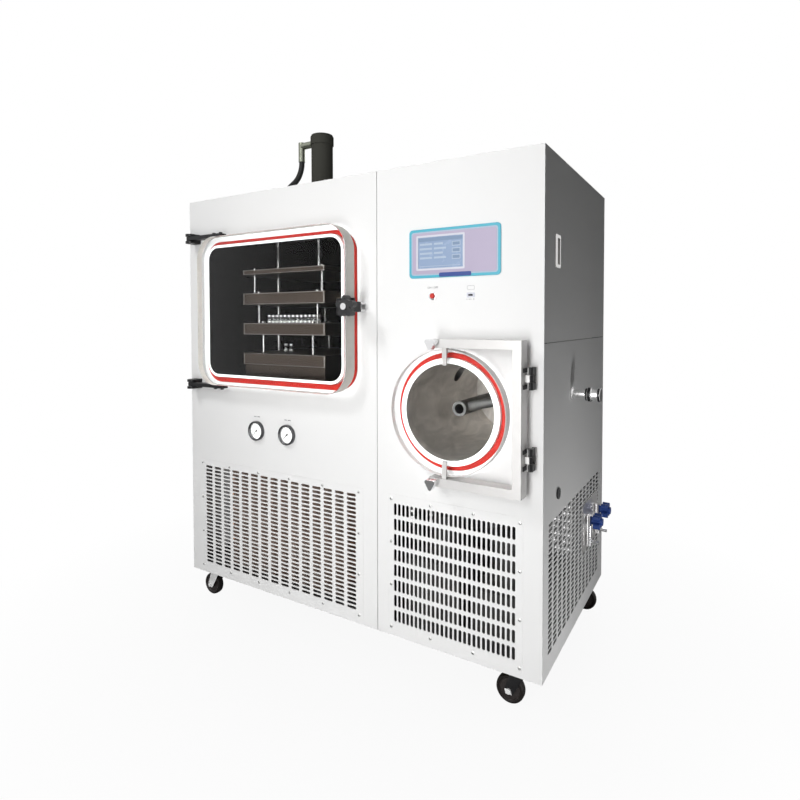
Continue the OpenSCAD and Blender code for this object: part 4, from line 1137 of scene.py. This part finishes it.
class DRYER_OT_operator_panel(bpy.types.Operator):
    """Operator panel with its border, sunk screen and bar, the power button and the port"""

    bl_idname = "dryer.operator_panel"
    bl_label = "Operator panel"

    def execute(self, context):
        shape = Shape()
        self.plates(shape)
        self.screen(shape)
        self.button_and_port(shape)
        materials = [
            printed_film("border film", colour("border")),
            printed_film("inner film", colour("inner")),
            lit_screen(),
            printed_film("screen frame", (0.64, 0.65, 0.72)),
            printed_film("blue bar", (0.018, 0.05, 0.24)),
            ink("pale marks", (0.40, 0.49, 0.60)),
            ink("dark marks", (0.19, 0.27, 0.40)),
            chrome(),
            moulded_black(),
            ink("panel ink", (0.12, 0.12, 0.13)),
            powder_coat("steel box", (0.5, 0.5, 0.5)),
        ]
        shape.piece("operator_panel_film", materials, "operator_panel")
        self.button()
        return {"FINISHED"}

    def plates(self, shape):
        """Border, pale line, inner film and the box behind."""
        centre = at(*PANEL)
        edge, face = rounded(260, 129, 10), rounded(259, 128, 9.5)
        border, film = rounded(246, 115, 7), rounded(239, 108, 6)
        shape.slot = 0
        shape.step(centre, [(edge, 0), (edge, 2.5), (face, 3)])
        shape.step(centre, [(face, 3), (border, 3)])
        shape.slot = 5
        shape.step(centre, [(border, 3), (film, 3), (film, 3.4)])
        shape.slot = 1
        window = self.round_screen(132, 83, 1)
        inner = [(a * 0.994, b * 0.988) for a, b in film]
        shape.step(centre, [(film, 3.4), (inner, 3.8), (window, 3.8), (window, 2.4)])
        shape.slot = 10
        shape.box(at(-118.5, 0.2, -53, PANEL), at(120.5, 38, 54, PANEL))

    def round_screen(self, width, height, radius):
        """An outline round the screen, from the panel's centre."""
        aside, up = (SCREEN[0] - PANEL[0]) * MM, (SCREEN[2] - PANEL[2]) * MM
        return [(a + aside, b + up) for a, b in rounded(width, height, radius)]

    def screen(self, shape):
        """Screen in its pale frame, with plain boxes and lines on it, and the dark bar."""
        def tile(slot, x0, z0, x1, z1, y0=-2.75, y1=-2.5):
            shape.slot = slot
            shape.box(at(x0, y0, z0, SCREEN), at(x1, y1, z1, SCREEN))

        tile(2, -66, -41.5, 66, 41.5, -2.6, -1)
        shape.slot = 3
        outer, lip = self.round_screen(141, 92, 3), self.round_screen(131, 82, 0.8)
        shape.step(at(*PANEL), [(outer, 3.7), (outer, 4.1), (lip, 4.1), (lip, 2.4)])
        tile(6, -64, 30, 64, 39)
        for k in range(4):
            tile(5, -60, 20 - 12 * k, -24, 25 - 12 * k)
            tile(5, -18, 20 - 12 * k, 8 + 9 * (k % 2), 25 - 12 * k)
        for k in range(3):
            tile(5, 34, 14 - 17 * k, 58, 26 - 17 * k)
            tile(6, 36, 16 - 17 * k, 56, 24 - 17 * k, -2.85, -2.7)
        tile(5, -60, -36, 58, -34.8)
        shape.slot = 4
        outline = rounded(91, 11, 3, 4)
        shape.step(at(6, 0, -57.5, PANEL), [(outline, 2.9), (outline, 4)])
        shape.face(shape.ring(at(6, -4, -57.5, PANEL), X, Z, outline))

    def button_and_port(self, shape):
        """The button's chrome collar with its marks, and the service port."""
        shape.slot = 7
        shape.turned(at(*BUTTON), -Y, mm((
            (7.1, -24), (7.1, 1.8), (7.6, 2.4), (9.4, 2.5), (10.6, 1.8), (11, 0.8), (11, 0),
            (8.8, 0), (8.8, -26), (0, -26), (0, -24), (7.1, -24),
        )))
        shape.slot = 9
        shape.write("ON / OFF", 0.0075, at(0, -0.1, 22, BUTTON))
        shape.slot = 3
        back, opening = rounded(22, 12, 2, 6), rounded(12, 4.5, 0.6, 6)
        face = [(a * 0.96, b * 0.94) for a, b in back]
        shape.step(at(*PORT), [
            (back, 0), (back, 1.2), (face, 1.5), (opening, 1.5), (opening, -12),
        ])
        shape.slot = 8
        shape.box(at(-6, 11.5, -2.2, PORT), at(6, 12.4, 2.2, PORT))
        shape.box(at(-4.5, 0.6, -0.8, PORT), at(4.5, 11.8, 0.6, PORT))
        shape.slot = 9
        outer, inner = rounded(20, 10, 2, 6), rounded(19, 9, 1.6, 6)
        shape.step(at(0, 0, 19, PORT), [(outer, 0.05), (inner, 0.12)])
        self.words(shape, PORT[0] - 12, 936.8, 1.2, 6, (3, 5, 2, 4))
        for x in GAUGE_XS:
            self.words(shape, x - 13, 570, 2.6, 7, (5, 3, 6, 4))

    def words(self, shape, x, z, height, pitch, widths):
        """A row of short bars in place of a printed line."""
        for width in widths:
            shape.box(at(x, -0.12, z), at(x + width, 0.02, z + height))
            x += pitch

    def button(self):
        """A red push button with a raised ring round its centre."""
        shape = Shape()
        shape.turned(at(*BUTTON), -Y, mm((
            (0, -18), (7, -18), (7, 4.3), (6.7, 5.3), (5.9, 6), (5.2, 5.9), (4.8, 5.3), (0, 4.9),
        )))
        red = enamel("button red", colour("button"))
        shape.piece("power_button_cap", red, "power_button")


# ---------- machinery behind the vents ----------


class DRYER_OT_machinery(bpy.types.Operator):
    """Compressors, condenser and fan, vacuum pump, oil units and control box"""

    bl_idname = "dryer.machinery"
    bl_label = "Machinery"

    def execute(self, context):
        front = at(0, 110.5, 0).y
        for row in (
            ("refrigeration_unit", enamel("unit black", (0.03, 0.03, 0.032)), 0.002),
            ("air_condenser", [finned(), black_coat()], 0.0015, where(lambda c: c.y >= front)),
            ("condenser_fan", moulded_black(), 0.001),
            ("vacuum_pump", enamel("pump grey", (0.045, 0.047, 0.05)), 0.003),
            ("oil_units", enamel("tank grey", (0.06, 0.058, 0.056)), 0.003),
            ("control_box", powder_coat("box white", (0.72, 0.72, 0.71)), 0.0012),
        ):
            softened(*row)
        self.pipes()
        return {"FINISHED"}

    def pipes(self):
        """Copper pipes between the compressors and the condenser, close behind the vents."""
        shape = Shape()
        for x, z in ((170, 300), (390, 340)):
            line = [at(*p, (x, 0, z)) for p in (
                (60, 120, -40), (62, 150, -20), (64, 200, 0), (40, 300, 0), (20, 380, -30),
                (0, 430, -60),
            )]
            shape.tube(smooth_line(line, 5), 0.006)
        for k in range(6):
            z = 75 + 52 * k
            right = ((0, 0), (18, 0), (30, 8), (34, 20), (30, 32), (18, 40), (0, 40))
            shape.tube(smooth_line([at(x, 0, r, (646, 95, z)) for x, r in right]), 0.005)
            if k < 5:
                left = ((0, 0), (-14, 0), (-25, 8), (-29, 20), (-25, 32), (-14, 40), (0, 40))
                shape.tube(smooth_line([at(x, 0, r, (154, 72, z + 20)) for x, r in left]), 0.005)
        shape.piece("condenser_pipes", copper(), "evaporator_coil", False)


# ---------- side fittings and casters ----------


class DRYER_OT_side_fittings(bpy.types.Operator):
    """Recessed pull and lock, vacuum port, and the drain valves with blue handles"""

    bl_idname = "dryer.side_fittings"
    bl_label = "Side fittings"

    def execute(self, context):
        softened("side_pull_handle", satin_steel(), 0.0009)
        softened("side_lock", moulded_black(), 0.0008)

        pale = brushed("port steel", (0.86, 0.855, 0.85), (1, 8, 8), 0.24, 0.36)
        clamp, ring, cap = (at(x, 0, 0).x for x in (1304.5, 1321.5, 1336.5))
        softened("vacuum_port", [pale, black_coat()], 0.0012,
                 where(lambda c: clamp < c.x < ring or c.x > cap))
        plate = at(1268.5, 0, 0).x
        softened("drain_valves", [chrome(), satin_steel()], 0.001,
                 where(lambda c: c.x < plate))
        for node in ("drain_handle_front", "drain_handle_rear"):
            softened(node, enamel("handle blue", colour("valves")), 0.0018)
        return {"FINISHED"}


class DRYER_OT_cylinder(bpy.types.Operator):
    """Black hydraulic cylinder over the chamber, with its elbow and gland"""

    bl_idname = "dryer.cylinder"
    bl_label = "Hydraulic cylinder"

    def execute(self, context):
        edge = at(360, 0, 0).x
        olive = brushed("fitting zinc", (0.20, 0.21, 0.17), (1, 1, 1), 0.3, 0.45)
        coat = powder_coat("cylinder coat", (0.06, 0.06, 0.052))
        softened("hydraulic_cylinder", [coat, olive], 0.0016,
                 where(lambda c: c.x < edge))
        return {"FINISHED"}


class DRYER_OT_casters(bpy.types.Operator):
    """Swivelling casters: pressed forks with pale axle caps, and rubber wheels"""

    bl_idname = "dryer.casters"
    bl_label = "Casters"

    def execute(self, context):
        for n in range(1, 5):
            fork, wheel = f"caster_fork_{n}", f"caster_wheel_{n}"
            hub, side = middle(wheel), high(wheel).y - middle(wheel).y + 0.003
            caps = where(lambda c: math.hypot(c.x - hub.x, c.z - hub.z) < 0.0073
                         and abs(c.y - hub.y) > side)
            softened(fork, [black_coat(), rim_steel()], 0.0007, caps)
            self.wheel(wheel)
        return {"FINISHED"}

    def wheel(self, node):
        """A crowned tyre on a dished centre."""
        centre = middle(node)
        r, half = ((high(node) - centre) / MM).zy
        shape = Shape()
        tyre = [(r - 9, half - 3), (r - 7, half - 1.2), (r - 3.4, half - 1.6), (r - 1.2, half - 4),
                (r - 0.2, half - 8), (r, 0)]
        tyre += [(a, -d) for a, d in reversed(tyre[:-1])]
        shape.turned(centre, Y, mm(tyre), 64)
        shape.slot = 1
        web = [(4.1, half), (10.4, half), (11, half - 0.6), (12, half - 5), (r - 11, half - 5),
               (r - 9.6, half - 3), (r - 9, half - 3)]
        for side in (1, -1):
            shape.turned(centre, Y, mm((a, side * d) for a, d in web))
        shape.turned(centre, Y, mm([(4.1, half), (4.1, -half)]), 24)
        tread = rubber("tyre", (0.011, 0.009, 0.008), 0.5)
        hub = enamel("wheel centre", (0.016, 0.011, 0.010))
        shape.piece(node + "_tyre", [tread, hub], node)


# ---------- panel and running ----------


OPERATORS = [
    DRYER_OT_stage,
    DRYER_OT_hoses,
    DRYER_OT_panels,
    DRYER_OT_screws,
    DRYER_OT_chamber,
    DRYER_OT_shelves,
    DRYER_OT_vials,
    DRYER_OT_chamber_door,
    DRYER_OT_trap,
    DRYER_OT_trap_door,
    DRYER_OT_gauges,
    DRYER_OT_operator_panel,
    DRYER_OT_machinery,
    DRYER_OT_side_fittings,
    DRYER_OT_cylinder,
    DRYER_OT_casters,
]


class DRYER_PT_freeze_dryer(bpy.types.Panel):
    """Sizes, colours and pieces of the freeze dryer"""

    bl_label = "Freeze Dryer"
    bl_space_type = "VIEW_3D"
    bl_region_type = "UI"
    bl_category = "Freeze Dryer"

    def draw(self, context):
        for group in ("dryer_sizes", "dryer_colours", "dryer_studio"):
            box = self.layout.box()
            settings = getattr(context.scene, group)
            for name in settings.__annotations__:
                box.prop(settings, name)
        for operator in OPERATORS:
            self.layout.operator(operator.bl_idname)


GROUPS = {
    "dryer_sizes": DRYER_PG_sizes,
    "dryer_colours": DRYER_PG_colours,
    "dryer_studio": DRYER_PG_studio,
}


def register():
    for name, group in GROUPS.items():
        bpy.utils.register_class(group)
        setattr(bpy.types.Scene, name, PointerProperty(type=group))
    for operator in OPERATORS:
        bpy.utils.register_class(operator)
    bpy.utils.register_class(DRYER_PT_freeze_dryer)


def unregister():
    bpy.utils.unregister_class(DRYER_PT_freeze_dryer)
    for operator in reversed(OPERATORS):
        bpy.utils.unregister_class(operator)
    for name, group in GROUPS.items():
        delattr(bpy.types.Scene, name)
        bpy.utils.unregister_class(group)


def main():
    """Makes every piece in order and writes the CAD's box and the dressed machine's box."""
    register()
    for operator in OPERATORS:
        group, name = operator.bl_idname.split(".")
        getattr(getattr(bpy.ops, group), name)()


if __name__ == "__main__":
    main()
